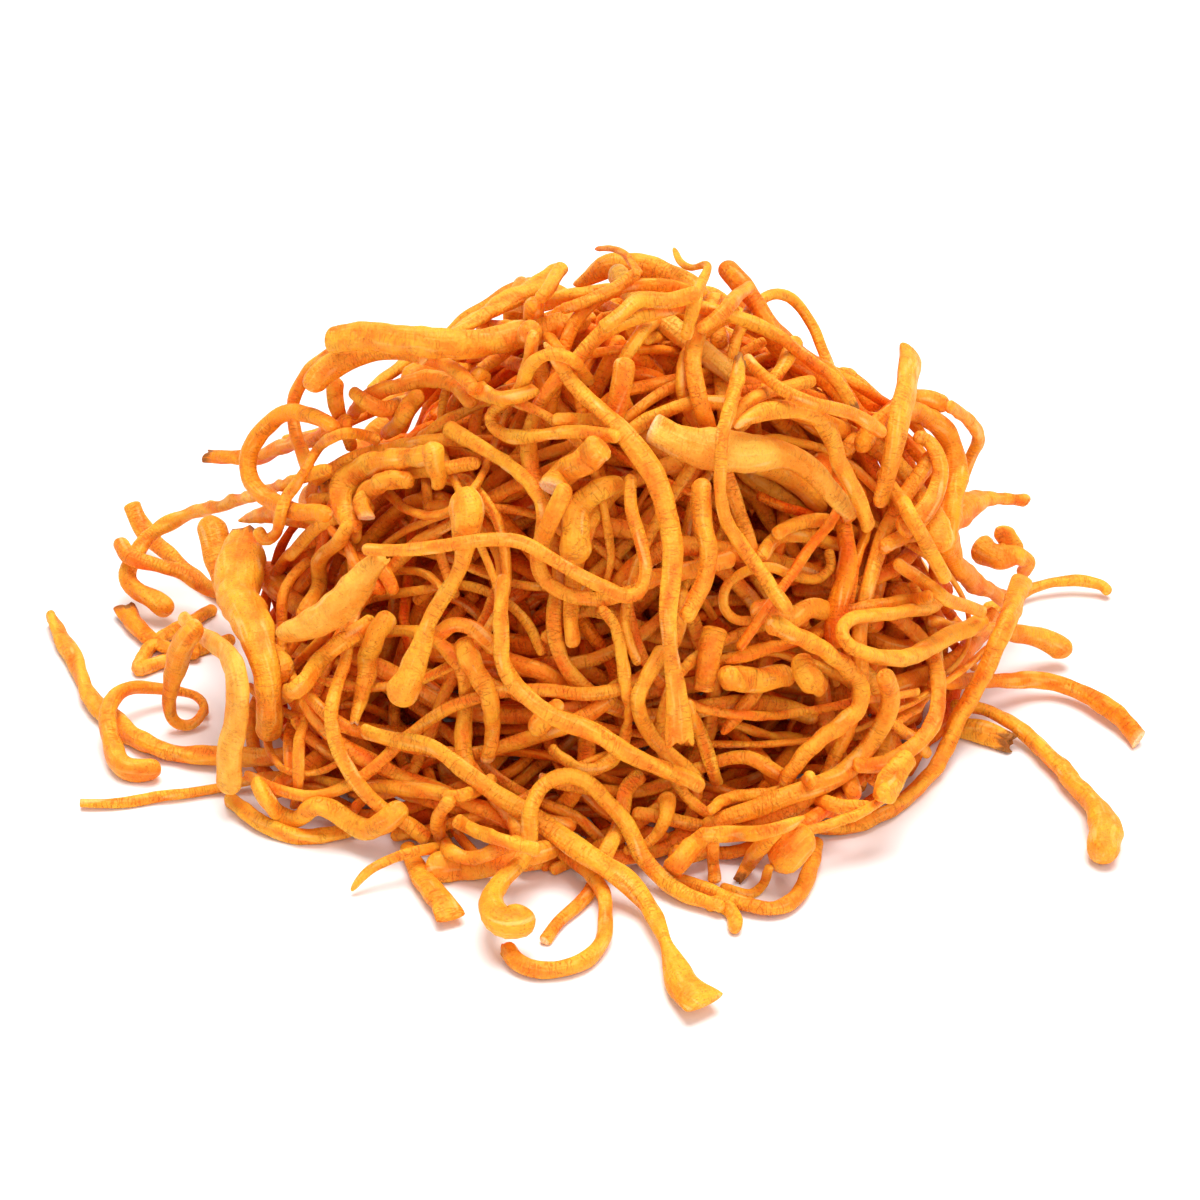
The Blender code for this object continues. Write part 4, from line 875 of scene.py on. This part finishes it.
WIDEST = PROFILES[..., 1].max()  # the largest share of the radius in any of them


def cubic_at(values, place):
    """Values between evenly spaced points, by cubics through the four points around each place."""
    base = np.clip(np.floor(place).astype(int), 0, values.shape[1] - 2)
    t = (place - base)[..., None]
    flat = values.reshape(*values.shape[:2], -1)
    rows = np.arange(len(values))[:, None]
    p = [flat[rows, np.clip(base + k, 0, values.shape[1] - 1)] for k in (-1, 0, 1, 2)]
    result = p[1] + 0.5 * t * (
        p[2] - p[0] + t * (2 * p[0] - 5 * p[1] + 4 * p[2] - p[3] + t * (3 * (p[1] - p[2]) + p[3] - p[0]))
    )
    return result.reshape(*place.shape, *values.shape[2:])


def transported(centre):
    """A direction square to each strand, carried along it with the least turning."""
    tangent = unit(np.gradient(centre, axis=1))
    helper = np.where(np.abs(tangent[:, :1, 2:3]) < 0.8, [[[0, 0, 1.0]]], [[[1.0, 0, 0]]])
    side = np.empty_like(centre)
    side[:, 0] = unit(np.cross(tangent[:, 0], helper[:, 0]))
    for i in range(1, centre.shape[1]):
        guide = side[:, i - 1]
        side[:, i] = unit(guide - (guide * tangent[:, i]).sum(axis=1)[:, None] * tangent[:, i])
    return side


# %% Lumps, flats and a restless middle
LUMPS, LUMP_HEIGHT = 9, 0.032
OVAL, THREE_SIDED = 0.045, 0.03
OVAL_TURN, THREE_SIDED_TURN = 25 * MM, 17 * MM
WOBBLES, WOBBLE_HEIGHT = 4, 0.045


def relief(seed, along, angle, rough):
    """How far the surface swells from the plain strand, as a share of its radius.

    A sum of waves, each with its own length along the strand and number of lobes round it, and of two or
    three flats that wind slowly round the strand.
    """
    source = np.random.default_rng(seed)
    shape = (len(along), 1, 1, LUMPS)
    wave_length = 2.8 * 8 ** source.uniform(0, 1, shape) * MM
    lobes = source.choice([0, 1, 1, 2, 2, 3], shape)
    phase = source.uniform(0, 2 * math.pi, shape)
    height = source.normal(0, LUMP_HEIGHT, shape) * (wave_length / (8 * MM)) ** 0.6
    lengthwise = 2 * math.pi * along[..., None, None] / wave_length
    waves = height * np.cos(lengthwise + lobes * angle[..., None] + phase)
    turn = source.uniform(0, 6, (2, len(along), 1, 1))
    flats = OVAL * np.cos(2 * angle + turn[0] + along[..., None] / OVAL_TURN)
    flats = flats + THREE_SIDED * np.cos(3 * angle + turn[1] - along[..., None] / THREE_SIDED_TURN)
    return (waves.sum(axis=3) + flats) * rough[:, None, None]


def wobble(seed, along, half):
    """How far the middle strays two ways: a sum of a few waves, each a small share of the half-width high."""
    source = np.random.default_rng(seed + 7000)
    shape = (2, len(along), 1, WOBBLES)
    wave_length = source.uniform(6, 20, shape) * MM
    height = source.normal(0, WOBBLE_HEIGHT, shape) * (wave_length / (10 * MM))
    height = height * half.mean(axis=1)[:, None, None]
    phase = source.uniform(0, 2 * math.pi, shape)
    return (height * np.cos(2 * math.pi * along[..., None] / wave_length + phase)).sum(axis=3)


# %% Points of the surface
LONGEST_CAP = 0.42  # the largest share of a strand's length that an end takes up
PRESSED = 3.2 * MM  # how far from its tip a splayed end is pressed flat
BROADER, FLATTER = 0.35, 0.65  # what that adds to its width and takes off its thickness
ABOVE_TABLE = 0.02 * MM
BETWEEN_STRANDS = 131.0  # in the materials' space, so that no two strands share a pattern


def stations(length, start, end, caps, rings):
    """How far along its strand each ring lies, and its share of the radius, both ends' profiles included."""
    step = np.linspace(0, 1, rings + 2)[None, 1:-1]
    body = caps[0][:, -1:] + (length[:, None] - caps[0][:, -1:] - caps[1][:, -1:]) * step
    along = np.concatenate([caps[0], body, length[:, None] - caps[1][:, ::-1]], axis=1)
    share = np.concatenate([PROFILES[start, :, 1], np.ones_like(body), PROFILES[end, ::-1, 1]], axis=1)
    return along, share


def torn_or_slanting(angle, ends):
    """How far the rims of both ends draw back round the strand, in radii.

    A torn end's rim is ragged, a cut goes across at a slant, and the other ends are even.
    """
    ragged = np.sin(2 * angle + 1.3) * 0.30 + np.sin(5 * angle) * 0.20 + np.sin(7 * angle + 2) * 0.12
    slanting = np.cos(angle + 2.4) * 0.45
    torn, cut_off = (ends[..., None, None] == KINDS.index(word) for word in ("torn", "cut"))
    return [np.where(cut_off[:, which], slanting, np.where(torn[:, which], ragged, 0)) for which in (0, 1)]


def surface(strands, rings, sides, seed):
    """The points of closed strand surfaces, with what the materials need to know at each of them."""
    centre, ends = strands["centre"], strands["ends"]
    length = np.linalg.norm(np.diff(centre, axis=1), axis=2).sum(axis=1)
    half = (strands["wide"] + strands["thick"]) / 2
    start, end = ends.T
    r0, r1 = half[:, 1:2], half[:, -2:-1]
    caps = PROFILES[start, :, 0] * r0, PROFILES[end, :, 0] * r1
    shrink = np.minimum(1, LONGEST_CAP * length / np.maximum(caps[0][:, -1], caps[1][:, -1]))[:, None]
    along, share = stations(length, start, end, [cap * shrink for cap in caps], rings)
    from_end = length[:, None] - along
    place = along / length[:, None] * (POINTS - 1)
    middle = cubic_at(centre, place)
    tangent = unit(cubic_at(unit(np.gradient(centre, axis=1)), place))
    across = cubic_at(strands["side"], place)
    across = unit(across - (across * tangent).sum(axis=2, keepdims=True) * tangent)
    up = np.cross(across, tangent)
    astray = wobble(seed, along, half)
    middle = middle + astray[0][..., None] * across + astray[1][..., None] * up
    wide, thick = (cubic_at(strands[key][..., None], place)[..., 0] for key in ("wide", "thick"))
    # A splayed end is pressed flat, which makes it wider.
    for which, distance in ((0, along), (1, from_end)):
        pressed = strands["splay"][:, which : which + 1] * np.exp(-((distance / PRESSED) ** 2))
        wide, thick = wide * (1 + BROADER * pressed), thick * (1 - FLATTER * pressed)
    angle = np.arange(sides)[None, None, :] * 2 * math.pi / sides
    swelling = relief(seed, along, angle, strands["rough"])
    swell = (1 + swelling) * share[..., None]
    x, y = wide[..., None] * np.cos(angle) * swell, thick[..., None] * np.sin(angle) * swell
    shift = 0.0
    for sign, form, r, distance in zip((-1, 1), torn_or_slanting(angle, ends), (r0, r1), (along, from_end)):
        near = np.exp(-((distance / r) ** 2)) * r
        shift = shift + sign * near[..., None] * form * (share[..., None] / WIDEST)
    points = middle[:, :, None] + x[..., None] * across[:, :, None] + y[..., None] * up[:, :, None]
    points = points + shift[..., None] * tangent[:, :, None]
    points[..., 2] = np.maximum(points[..., 2], ABOVE_TABLE)
    tips = []
    both_ends = ((0, 1, r0, start, along[:, :1]), (-1, -1, r1, end, from_end[:, -1:]))
    for which, sign, r, kinds, distance in both_ends:
        base = middle[:, which] - sign * distance * tangent[:, which]
        tips.append(base + sign * TIPS[kinds][:, None] * r * shrink * tangent[:, which])
    offset = np.arange(len(centre)) * BETWEEN_STRANDS
    lengthwise = np.broadcast_to(along[..., None] / MM + offset[:, None, None], x.shape)
    tip_space = [np.stack([0 * length, 0 * length, s / MM + offset], axis=1) for s in (0 * length, length)]
    return {
        "points": points, "tips": np.stack(tips, axis=1), "along": along, "length": length, "share": share,
        "space": np.stack([x / MM, y / MM, lengthwise], axis=-1), "tip_space": np.stack(tip_space, axis=1),
        "r": (r0, r1), "half": half, "swelling": swelling,
    }


# %% [markdown]
# The materials also need to know where a strand is pale, brown or swollen. Trimmed ends show the
# pale inside, some tips have dried brown, and heads are more mottled than stalks. These marks are
# written to the mesh as a colour attribute: red for pale, green for brown, blue for mottled. Its
# alpha tells ridges from hollows, so that the flesh is painted lighter on a ridge and deeper in a
# hollow: painted highlight and painted shade.

# %% Marks
PALE, DRY, RIM = 1, 2, 3  # an end's look: it shows the inside, has dried brown, or only its rim has


def marks_of(made, strands):
    """Pale, brown and mottled shares at each ring and at both tips.

    A pale face and a brown rim reach a fraction of a radius along the strand, a dried tip a few millimetres.
    Heads are where a strand is clearly thicker than its middle value, or thicker than any stalk.
    """
    along, length, share = made["along"], made["length"][:, None], made["share"]
    pale, brown = np.zeros_like(along), np.zeros_like(along)
    for which, distance in ((0, along), (1, length - along)):
        look = strands["looks"][:, which : which + 1]
        r = made["r"][which]
        face = np.clip(1.6 - distance / (0.35 * r), 0, 1) * np.clip((1.06 - share) * 9, 0.25, 1)
        pale = np.maximum(pale, np.where(look == PALE, face, 0))
        rim = 0.3 + 0.6 * np.clip((share - 0.82) / 0.1, 0, 1)
        dried = 1.5 * np.minimum(r, 1.7 * MM) + 1.3 * MM
        brown = np.maximum(brown, np.where(look == DRY, np.clip(1.15 - distance / dried, 0, 1), 0))
        brown = np.maximum(brown, np.where(look == RIM, rim * np.clip(1.3 - distance / (0.25 * r), 0, 1), 0))
    half = cubic_at(made["half"][..., None], along / length * (POINTS - 1))[..., 0]
    swollen = np.clip((half / np.median(made["half"], axis=1)[:, None] - 1.15) / 0.4, 0, 1)
    swollen = np.maximum(swollen, np.clip((half / MM - 1.9) / 0.7, 0, 1))
    rings = np.stack([pale, brown, swollen, np.ones_like(pale)], axis=-1)
    return rings, rings[:, [0, -1]]


# %% [markdown]
# ## The flesh
# Fresh cordyceps flesh is firm, satin and faintly see-through, like the skin of a carrot. Its
# orange is painted lighter on ridges and redder in hollows, as painted highlight and painted shade.
# Fine creases run across the stalk and are painted darker, as painted shade in the creases. Tiny
# pits and darker freckles gather in patches, above all on the heads, and here and there a long pale
# streak runs along a strand. The inside is cream white, and dried tips are brown down their
# grooves. The patterns are laid out in the strand's own space, in millimetres: two directions
# across the strand and one along it, so that they follow every bend.

# %% Colours of ends and streaks
CREAM = "F6D3A0"  # the cut inside
BROWN = "85501F"  # dried
# A painted highlight on ridges.
LIT_RIDGE = "FFC45E"
PALE_STREAK = "FFCB7A"
CREASE = 0.34 * MM  # how deep the creases seem
BLEED = 1.1 * MM  # how far light spreads in the flesh


# %% Materials
def flesh(name, light, deep, freckle, gloss=0.38):
    """Satin fungus flesh that goes from light to deep, with creases, pits and freckles, and with painted
    highlight on ridges and painted shade in hollows and creases.
    """
    material = bpy.data.materials.new(name)
    material.use_nodes = True
    tree = material.node_tree
    shader = tree.nodes["Principled BSDF"]

    def add(kind, inputs=None, **settings):
        return add_node(tree, kind, inputs, **settings)

    space = add("ShaderNodeAttribute", attribute_name="strand_space").outputs["Vector"]
    marks = add("ShaderNodeAttribute", attribute_name="marks")
    ridge = marks.outputs["Alpha"]
    marks = add("ShaderNodeSeparateColor", {"Color": marks.outputs["Color"]})
    pale, brown, mottled = (marks.outputs[channel] for channel in ("Red", "Green", "Blue"))
    tone = add("ShaderNodeAttribute", attribute_name="tone").outputs["Fac"]

    def pattern(across, along, detail, seed):
        """Noise with one feature in so many millimetres across and along the strand."""
        density, offset = (1 / across, 1 / across, 1 / along), (seed, seed * 1.7, seed * 2.3)
        stretched = add("ShaderNodeVectorMath", {0: space, 1: density}, operation="MULTIPLY").outputs[0]
        moved = add("ShaderNodeVectorMath", {0: stretched, 1: offset}, operation="ADD").outputs[0]
        settings = {"Vector": moved, "Scale": 1.0, "Detail": detail, "Roughness": 0.55}
        return add("ShaderNodeTexNoise", settings).outputs["Fac"]

    def ramp(value, low, high, to_low=0.0, to_high=1.0):
        """The value moved from one range to another, and kept inside it."""
        inputs = {"Value": value, "From Min": low, "From Max": high, "To Min": to_low, "To Max": to_high}
        return add("ShaderNodeMapRange", inputs).outputs["Result"]

    def maths(operation, a, b, clamp=True):
        """One sum or product of two values, kept from nothing to one unless it says otherwise."""
        return add("ShaderNodeMath", {0: a, 1: b}, operation=operation, use_clamp=clamp).outputs[0]

    def mixed(share, a, b):
        """The colour a with a share of b; the node's colours are its inputs 6 and 7 and its output 2."""
        return add("ShaderNodeMix", {0: share, 6: a, 7: b}, data_type="RGBA").outputs[2]

    clouds = pattern(2.0, 3.6, 3.0, 3.1)
    wrinkles = pattern(2.8, 0.75, 2.0, 7.7)
    grooves = pattern(0.7, 11.0, 2.0, 1.9)
    grain = pattern(0.24, 0.30, 1.0, 5.3)
    patches = pattern(2.4, 3.4, 1.0, 9.2)
    skin = pattern(0.6, 0.36, 2.0, 4.4)
    streaks = pattern(1.2, 7.0, 1.0, 6.1)

    # The orange deepens with mottling and with each strand's tone, which also carries the painted shade of
    # low strands.
    depth = maths("ADD", ramp(clouds, 0.40, 0.62, 0.0, 0.40), ramp(tone, 0.0, 2.0, 0.0, 0.75))
    # Ridges are painted lighter and hollows deeper: painted highlight and painted shade.
    depth = maths("ADD", depth, ramp(ridge, 0.1, 0.9, 0.32, -0.32), clamp=False)
    depth = maths("ADD", depth, ramp(skin, 0.32, 0.68, 0.13, -0.13))
    colour = mixed(depth, linear(light), linear(deep))
    # A wrinkle is a thin line where the noise crosses its middle value.
    off_line = maths("ABSOLUTE", maths("SUBTRACT", wrinkles, 0.5, clamp=False), 0.0)
    wrinkle = ramp(off_line, 0.0, 0.035, 1.0, 0.0)
    wrinkled = maths("MULTIPLY", wrinkle, ramp(patches, 0.44, 0.56, 0.12, 1.0))
    wrinkled = maths("MULTIPLY", wrinkled, ramp(mottled, 0.0, 1.0, 1.0, 0.35))
    # Creases are painted darker, towards the freckle colour: painted shade in the creases.
    colour = mixed(maths("MULTIPLY", wrinkled, 0.38), colour, linear(freckle))
    in_patch = ramp(clouds, 0.46, 0.6, 0.25, 1.0)
    freckles = maths("MULTIPLY", ramp(grain, 0.60, 0.72, 0.0, 0.6), maths("MAXIMUM", in_patch, mottled))
    colour = mixed(freckles, colour, linear(freckle))
    # Ridges along the grooves are painted in the lit colour: a painted highlight.
    ridges = maths("MULTIPLY", ramp(grooves, 0.56, 0.68, 0.0, 0.45), ramp(clouds, 0.42, 0.54, 1.0, 0.0))
    colour = mixed(ridges, colour, linear(LIT_RIDGE))
    # Long pale streaks run along the strand.
    colour = mixed(ramp(streaks, 0.64, 0.74, 0.0, 0.5), colour, linear(PALE_STREAK))
    colour = mixed(maths("MULTIPLY", pale, ramp(grain, 0.35, 0.6, 1.0, 0.6)), colour, linear(CREAM))
    # The brown of a dried tip runs down the grooves.
    dried = ramp(maths("ADD", brown, ramp(grooves, 0.35, 0.65, 0.0, 0.5), clamp=False), 0.75, 1.1, 0.0, 0.85)
    colour = mixed(dried, colour, linear(BROWN))
    tree.links.new(colour, shader.inputs["Base Color"])

    height = maths("MULTIPLY", ramp(wrinkles, 0.36, 0.64), 0.25)
    for relief_of, weight in ((grooves, 0.3), (clouds, 0.15), (skin, 0.28)):
        height = maths("ADD", height, maths("MULTIPLY", ramp(relief_of, 0.3, 0.7), weight))
    height = maths("SUBTRACT", height, maths("MULTIPLY", wrinkled, 0.32))
    bump = add("ShaderNodeBump", {"Height": height, "Distance": CREASE, "Strength": 1.0})
    tree.links.new(bump.outputs["Normal"], shader.inputs["Normal"])
    tree.links.new(ramp(clouds, 0.3, 0.7, 0.46, 0.64), shader.inputs["Roughness"])
    finish = {
        "IOR": 1.42, "Specular IOR Level": gloss, "Subsurface Weight": 0.25,
        "Subsurface Radius": (1.0, 0.32, 0.06), "Subsurface Scale": BLEED,
    }
    for socket, value in finish.items():
        shader.inputs[socket].default_value = value
    return material


# The light colour, the deep one and that of freckles. The deep and inner flesh are redder copies that paint
# the shade of strands lying further in, and they are less glossy.
MATERIALS = {
    "fresh_flesh": flesh("fresh_cordyceps_flesh", "FFAE2A", "F8760C", "B04C08"),
    "pale_flesh": flesh("pale_cordyceps_flesh", "FFBC46", "FA921E", "BA5C0E"),
    "deep_flesh": flesh("half_shaded_cordyceps_flesh", "FF9C1C", "F46C08", "AC4606", 0.3),
    "inner_flesh": flesh("shaded_inner_cordyceps_flesh", "FF9016", "EC5606", "9C3203", 0.15),
}

# %% [markdown]
# ## From arrays to meshes
# A piece is one mesh of one or many closed strand surfaces: quads between the rings and a fan of
# triangles at each tip. Hundreds of strands share a few meshes, because each is one object to handle.

# %% Meshes
def strand_faces(count, total, sides):
    """The corners of the faces of so many strands, each with its rings first and then its two tips."""
    i, j = np.meshgrid(np.arange(total - 1), np.arange(sides), indexing="ij")
    k = (j + 1) % sides
    here, ahead = i * sides, (i + 1) * sides
    quads = np.stack([here + j, ahead + j, ahead + k, here + k], axis=-1).reshape(-1, 4)
    j = np.arange(sides)
    k, pole, last = (j + 1) % sides, total * sides, (total - 1) * sides
    fans = np.concatenate([
        np.stack([np.full(sides, pole), j, k], axis=1),
        np.stack([np.full(sides, pole + 1), last + k, last + j], axis=1),
    ])
    offset = (np.arange(count) * (total * sides + 2))[:, None, None]
    return (quads + offset).reshape(-1, 4).tolist() + (fans + offset).reshape(-1, 3).tolist()


def write_attribute(mesh, name, kind, field, values):
    """Gives each corner of the mesh its value, colour or vector under that name."""
    attribute = mesh.attributes.new(name, kind, "POINT")
    attribute.data.foreach_set(field, values.astype(np.float32).ravel())


def add_strands(name, strands, rings, sides, seed, slot, nodes):
    """One piece of closed strand surfaces in the slot's material, in place of these nodes of the solids."""
    made = surface(strands, rings, sides, seed)
    count, total = made["points"].shape[:2]

    def stacked(ring_values, tip_values):
        """Ring values and tip values in the order of the mesh's corners."""
        flat = ring_values.reshape(count, total * sides, -1)
        return np.concatenate([flat, tip_values], axis=1).reshape(count * (total * sides + 2), -1)

    mesh = bpy.data.meshes.new(name)
    mesh.from_pydata(stacked(made["points"], made["tips"]).tolist(), [], strand_faces(count, total, sides))
    ring_marks, tip_marks = marks_of(made, strands)
    ring_marks = np.repeat(ring_marks[:, :, None], sides, axis=2)
    # The alpha is how far the surface swells; the flesh is painted lighter there and deeper in hollows, as
    # painted highlight and shade.
    ring_marks[..., 3] = np.clip(0.5 + 3.0 * made["swelling"], 0, 1)
    tone = np.repeat(strands["tone"], total * sides + 2)
    write_attribute(mesh, "strand_space", "FLOAT_VECTOR", "vector", stacked(made["space"], made["tip_space"]))
    write_attribute(mesh, "marks", "FLOAT_COLOR", "color", stacked(ring_marks, tip_marks))
    write_attribute(mesh, "tone", "FLOAT", "value", tone)
    mesh.materials.append(MATERIALS[slot])
    mesh.shade_smooth()
    obj = bpy.data.objects.new(name, mesh)
    bpy.context.scene.collection.objects.link(obj)
    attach(obj, "root")
    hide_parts(*nodes)


# %% [markdown]
# ## The uppermost strands
# Each strand of the solids gets its own piece. Most ends are round; the others are named here, as
# the left or right end in the picture.

# %% Uppermost strands
PLAIN = ("round", 0, "round", 0)
END_LOOKS = {
    "cut_pale_trunk": ("blunt", PALE, "round", 0),
    "trunk_branch": ("taper", 0, "round", 0),
    "pale_ended_stem_top": ("blunt", PALE, "round", 0),
    "long_diagonal_right": ("round", 0, "blunt", RIM),
    "cut_arc_right": ("round", 0, "cut", PALE),
    "dark_tipped_stem": ("torn", DRY, "round", 0),
    "brown_tipped_stem_left": ("torn", DRY, "round", 0),
    "withered_blade_left": ("torn", DRY, "round", 0),
    "cut_stump_front": ("round", 0, "blunt", RIM),
    "thin_tip_front": ("taper", RIM, "round", 0),
    "calyx_headed_left": ("torn", DRY, "round", 0),
    "blade_right_top": ("round", 0, "blunt", RIM),
    "ribbon_stem": ("taper", 0, "torn", 0),
    "low_diagonal_front": ("round", 0, "blunt", RIM),
    "left_long_tail": ("blunt", RIM, "round", 0),
    "low_straight_stem": ("blunt", RIM, "round", 0),
    "front_low_hook": ("torn", 0, "round", 0),
    "crescent_left": ("round", 0, "torn", 0),
    "thick_arch_top": ("taper", 0, "round", 0),
    "leaning_club_top": ("blunt", RIM, "round", 0),
    "thick_stem_top_left": ("blunt", 0, "round", 0),
    "flat_tip_left": ("blunt", 0, "round", 0),
}
# How far the left and the right end are pressed flat.
SPLAYED = {
    "low_diagonal_front": (0, 1), "cut_stump_front": (0, 1.1), "ribbon_stem": (0, 0.5),
    "brown_tipped_stem_left": (0.3, 0), "dark_tipped_stem": (0.5, 0), "cut_arc_right": (0, 0.4),
    "withered_blade_left": (0.7, 0), "forked_fan_top": (0, 0.6), "blade_right_top": (0.3, 0.2),
}
SMOOTHER = {"blade_right_top": 0.4}
RING_SPACING, FEWEST_RINGS, MOST_RINGS = 0.9 * MM, 40, 110
SLOT_OF = {part["node"]: part["material_slot"] for part in frame["record"]["subparts"]}
tone_source = np.random.default_rng(3)
for k, name in enumerate(names):
    look = END_LOOKS.get(name, PLAIN)
    strand = {key: values[k : k + 1] for key, values in outer.items()}
    strand["ends"] = np.array([[KINDS.index(look[0]), KINDS.index(look[2])]])
    strand["looks"] = np.array([[look[1], look[3]]])
    strand["splay"] = np.array([SPLAYED.get(name, (0, 0))])
    strand["tone"] = tone_source.uniform(0, 1, 1)
    strand["rough"] = tone_source.uniform(0.7, 1.3, 1) * SMOOTHER.get(name, 1)
    rings = int(np.clip(lengths[k] / RING_SPACING, FEWEST_RINGS, MOST_RINGS))
    add_strands(name + "_strand", strand, rings, sides=20, seed=100 + k, slot=SLOT_OF[name], nodes=[name])
print("pieces from the solids:", len(names))

# %% [markdown]
# ## The strands below
# All of them stand for the one dome of the solids. The further in they lie, the fewer rings they
# need, and the redder and deeper their flesh is painted: painted shade, for light that bounces
# between strands reddens them.
# Nothing shows how the filling and grown ones end, so their ends are drawn by lot: the head is
# round, and the foot is round, trimmed, tapered, cut or torn.

# %% The traced strands
SECOND_ENDS = {
    "cut_hook_left": ("cut", PALE, "round", 0),
    "cut_stub_centre": ("blunt", 0, "cut", PALE),
    "pale_cut_left": ("round", 0, "cut", PALE),
    "dark_tip_front": ("torn", DRY, "round", 0),
    # This round tip is painted in the pale cut colour: a painted highlight.
    "long_low_front": ("round", PALE, "round", 0),
    "lower_edge_front": ("taper", 0, "blunt", 0),
    "brown_blade": ("round", 0, "torn", DRY),
    "stub_tip": ("taper", RIM, "round", 0),
    "low_left_stem": ("round", 0, "torn", PALE),
    "fine_tip_crest": ("taper", 0, "round", 0),
    "fine_stem_crest": ("taper", 0, "round", 0),
    "peg_a": ("blunt", 0, "blunt", 0),
}


def joined(centre, radius, ends, looks, seed, facing=None):
    """Strands ready for a surface, some flatter than others.

    Their wide side lies any way, or square to the lines of sight where an eye is given.
    """
    source = np.random.default_rng(seed)
    count = len(centre)
    flat = source.uniform(0.62, 1.0, (count, 1))
    roll = source.uniform(0, math.pi, (count, 1, 1))
    tangent, across = unit(np.gradient(centre, axis=1)), transported(centre)
    side = across * np.cos(roll) + np.cross(tangent, across) * np.sin(roll)
    if facing is not None:
        side = softened(np.cross(tangent, centre - facing), 4)
        turned = (side[:, 1:] * side[:, :-1]).sum(axis=2) < 0
        flip = np.concatenate([np.ones((count, 1)), np.where(turned, -1, 1)], axis=1).cumprod(axis=1)
        side = unit(side * flip[..., None])
    return {
        "centre": centre, "side": side, "wide": radius, "thick": radius * flat,
        "ends": ends, "looks": looks, "splay": np.zeros((count, 2)),
        "tone": source.uniform(0, 1, count), "rough": source.uniform(0.7, 1.4, count),
    }


second_looks = [SECOND_ENDS.get(name, PLAIN) for name in SECOND_LAYER]
slid_to = sliding_eye + sliding_course[..., None] * sliding_rays
sliding_centre = np.array([even(line, POINTS) for line in slid_to])
second_strands = joined(
    sliding_centre[FILLING + FAR:], sliding_radius[FILLING + FAR:],
    np.array([(KINDS.index(look[0]), KINDS.index(look[2])) for look in second_looks]),
    np.array([(look[1], look[3]) for look in second_looks]), seed=21, facing=FRONT["eye"],
)
add_strands(
    "second_layer_strands", second_strands,
    rings=64, sides=16, seed=31, slot="fresh_flesh", nodes=["inner_strands"],
)
print("traced strands:", len(second_looks))

# %% Ends and tones drawn by lot
end_choice = np.random.default_rng(8)
SHARES = {"round": 0.58, "blunt": 0.14, "taper": 0.18, "cut": 0.04, "torn": 0.06}


def random_ends(count):
    """Kinds of end and how they look: the head's end is round, a cut one is pale and a torn one dry."""
    ends = end_choice.choice(len(KINDS), (count, 2), p=[SHARES[word] for word in KINDS])
    ends[:, 0] = KINDS.index("round")
    return ends, np.where(ends == KINDS.index("cut"), PALE, np.where(ends == KINDS.index("torn"), DRY, 0))


def lowness(centre):
    """One for strands near the table, nothing near the crest: the low ones are painted redder, as painted
    shade.
    """
    return np.clip(1.2 - centre[..., 2].mean(axis=1) / (45 * MM), 0, 1)


# %% The sides and the back
ends, looks = random_ends(FILLING + FAR)
# A far strand that has been pushed up into the front view's sky is left out.
WITHIN = 0.96  # the share of a strand that has to stay inside the outline
far = np.arange(FILLING, FILLING + FAR)
far = far[inside_outline(picture_points(sliding_centre[far])).mean(axis=1) > WITHIN]
far_strands = joined(sliding_centre[far], sliding_radius[far], ends[far], looks[far], seed=29)
add_strands(
    "far_side_strands", far_strands,
    rings=60, sides=14, seed=36, slot="fresh_flesh", nodes=["inner_strands"],
)
print("strands on the sides and the back:", len(far), "of", FAR)

# %% The filling and the grown strands
# Rings, sides, slot, and how much painted shade a low place adds, from the deepest filling to the uppermost.
# The deeper fillings take the redder flesh, which paints their shade.
FILLING_LOOKS = [(36, 10, "inner_flesh", 1.0), (42, 12, "deep_flesh", 0.6), (50, 14, "fresh_flesh", 0.4)]
start = 0
for number, (_, count, _) in enumerate(FILLINGS, start=1):
    part = slice(start, start + count)
    start += count
    rings, sides, slot, redder = FILLING_LOOKS[number - 1]
    filling = joined(sliding_centre[part], sliding_radius[part], ends[part], looks[part], 22 + number)
    # A low place adds painted shade.
    filling["tone"] = filling["tone"] + redder * lowness(sliding_centre[part])
    add_strands(f"filling_strands_{number}", filling, rings, sides, 32 + number, slot, ["inner_strands"])
# Rings, sides and slot, from the outermost shell to the bed; the inner flesh paints the shade of the deeper
# shells.
SHELL_LOOKS = [
    (54, 14, "deep_flesh"), (44, 12, "inner_flesh"), (36, 10, "inner_flesh"), (30, 8, "inner_flesh"),
    (30, 8, "inner_flesh"),
]
start = 0
for number, (_, count, _) in enumerate(SHELLS, start=1):
    part = slice(start, start + count)
    start += count
    rings, sides, slot = SHELL_LOOKS[number - 1]
    centre = np.array([even(line, POINTS) for line in grown[part]])
    strands = joined(centre, grown_radius[part], *random_ends(count), 40 + number)
    # Low ones get more painted shade.
    strands["tone"] = strands["tone"] + lowness(centre)
    add_strands(f"inner_strands_{number}", strands, rings, sides, 50 + number, slot, ["inner_strands"])

# %% [markdown]
# ## Finish
# The visual model's box is printed beside the solids', to show how much it has grown. The
# visual model must stay as large as the solids are.

# %% Sizes and finish
visual_box = [list(corner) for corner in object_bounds()]
grown_by = [[round((v - c) / MM, 1) for v, c in zip(*pair)] for pair in zip(visual_box, cad_box)]
triangles = {o.name: sum(len(p.vertices) - 2 for p in o.data.polygons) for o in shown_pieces()}
print("visual box against the solids', mm:", grown_by)
print("triangles:", sum(triangles.values()), " most in a piece:", max(triangles.values()))
